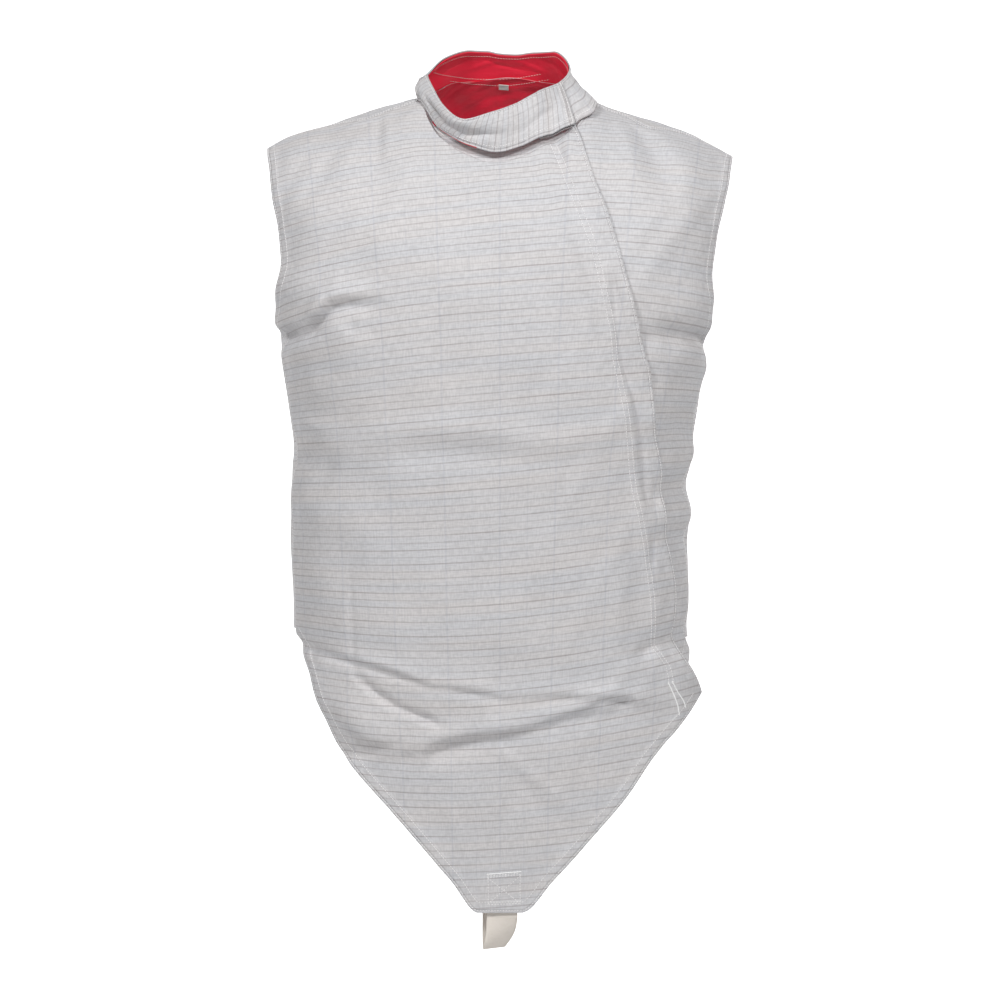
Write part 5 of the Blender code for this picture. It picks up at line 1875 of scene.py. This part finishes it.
class VestClothSettings(PropertyGroup):
    """Settings of the cloth."""

    step: FloatProperty(
        name="Grid step", description="Size of a cell of the panels' grids",
        default=3.0 * MM, min=1.5 * MM, max=20 * MM, unit="LENGTH",
    )
    wall: FloatProperty(
        name="Cloth", description="Thickness of the panels and the collar bands",
        default=1.3 * MM, min=0.5 * MM, max=1.6 * MM, unit="LENGTH",
    )
    stripe_pitch: FloatProperty(
        name="Stripe pitch", description="Distance from a stripe to the next one",
        default=7.1 * MM, min=1 * MM, max=50 * MM, unit="LENGTH",
    )
    metal: FloatProperty(
        name="Metal", description="Share of the cloth that shines as metal",
        default=0.1, min=0.0, max=1.0,
    )
    roughness: FloatProperty(
        name="Roughness", description="Roughness of the metallic cloth",
        default=0.62, min=0.0, max=1.0,
    )


class VestStitchSettings(PropertyGroup):
    """Settings of the sewing."""

    pitch: FloatProperty(
        name="Pitch", description="Distance from a stitch to the next one",
        default=2.8 * MM, min=1 * MM, max=20 * MM, unit="LENGTH",
    )
    length: FloatProperty(
        name="Length", description="Length of a stitch",
        default=2.2 * MM, min=0.5 * MM, max=20 * MM, unit="LENGTH",
    )
    thickness: FloatProperty(
        name="Thickness", description="Thickness of the thread, drawn a little heavy",
        default=0.8 * MM, min=0.1 * MM, max=3 * MM, unit="LENGTH",
    )


class VestStageSettings(PropertyGroup):
    """Settings of the studio."""

    floor: FloatProperty(
        name="Floor", description="Height of the floor",
        default=-1.35, min=-5.0, max=-0.9, unit="LENGTH",
    )
    power: FloatProperty(
        name="Light", description="Power in watts, of which each lamp has its share",
        default=75.0, min=0.0, max=5000.0, unit="POWER",
    )
    glow: FloatProperty(
        name="Backdrop glow", description="Light given off by the wall and the far floor",
        default=1.0, min=0.0, max=10.0,
    )
    sky: FloatProperty(
        name="Sky", description="Strength of the pale surroundings",
        default=0.24, min=0.0, max=10.0,
    )


class VEST_OT_panels(Operator):
    """Make the main front, the left side front and the back"""

    bl_idname = "vest.panels"
    bl_label = "Body panels"

    def execute(self, context):
        panel_cloth(context.scene.vest_cloth)
        return {"FINISHED"}


class VEST_OT_collar(Operator):
    """Make the two bands of the stand collar"""

    bl_idname = "vest.collar"
    bl_label = "Collar"

    def execute(self, context):
        collar_cloth(context.scene.vest_cloth)
        return {"FINISHED"}


class VEST_OT_linings(Operator):
    """Make the collar lining, the back neck lining and the bare size label"""

    bl_idname = "vest.linings"
    bl_label = "Linings and label"

    def execute(self, context):
        lining_cloth(context.scene.vest_cloth)
        size_label_tab(context.scene.vest_cloth)
        return {"FINISHED"}


class VEST_OT_strap(Operator):
    """Make the crotch strap"""

    bl_idname = "vest.strap"
    bl_label = "Strap"

    def execute(self, context):
        strap_webbing(context.scene.vest_cloth)
        return {"FINISHED"}


class VEST_OT_stitches(Operator):
    """Sew the rows of stitches"""

    bl_idname = "vest.stitches"
    bl_label = "Stitches"

    def execute(self, context):
        all_stitches(context.scene.vest_stitches)
        return {"FINISHED"}


class VEST_OT_stage(Operator):
    """Set up the backdrop, the lamps and the camera"""

    bl_idname = "vest.stage"
    bl_label = "Studio"

    def execute(self, context):
        studio(context.scene.vest_stage)
        return {"FINISHED"}


OPERATORS = (
    VEST_OT_panels,
    VEST_OT_collar,
    VEST_OT_linings,
    VEST_OT_strap,
    VEST_OT_stitches,
    VEST_OT_stage,
)
GROUPS = {
    "vest_cloth": VestClothSettings,
    "vest_stitches": VestStitchSettings,
    "vest_stage": VestStageSettings,
}


class VEST_PT_panel(Panel):
    """Settings and steps of the vest"""

    bl_idname = "VEST_PT_panel"
    bl_label = "Fencing lame"
    bl_space_type = "VIEW_3D"
    bl_region_type = "UI"
    bl_category = "Vest"

    def draw(self, context):
        for name, group in GROUPS.items():
            box = self.layout.box()
            for key in group.__annotations__:
                box.prop(getattr(context.scene, name), key)
        for operator in OPERATORS:
            self.layout.operator(operator.bl_idname)


def register():
    """Register the settings, the operators and the panel."""
    for group in GROUPS.values():
        bpy.utils.register_class(group)
    for name, group in GROUPS.items():
        setattr(bpy.types.Scene, name, PointerProperty(type=group))
    for operator in OPERATORS:
        bpy.utils.register_class(operator)
    bpy.utils.register_class(VEST_PT_panel)


def unregister():
    """Take away the panel, the operators and the settings."""
    bpy.utils.unregister_class(VEST_PT_panel)
    for operator in reversed(OPERATORS):
        bpy.utils.unregister_class(operator)
    for name in GROUPS:
        delattr(bpy.types.Scene, name)
    for group in reversed(list(GROUPS.values())):
        bpy.utils.unregister_class(group)


def main():
    """Make the vest step by step."""
    register()
    bpy.ops.vest.panels()
    bpy.ops.vest.collar()
    bpy.ops.vest.linings()
    bpy.ops.vest.strap()
    bpy.ops.vest.stitches()
    bpy.ops.vest.stage()


if __name__ == "__main__":
    main()
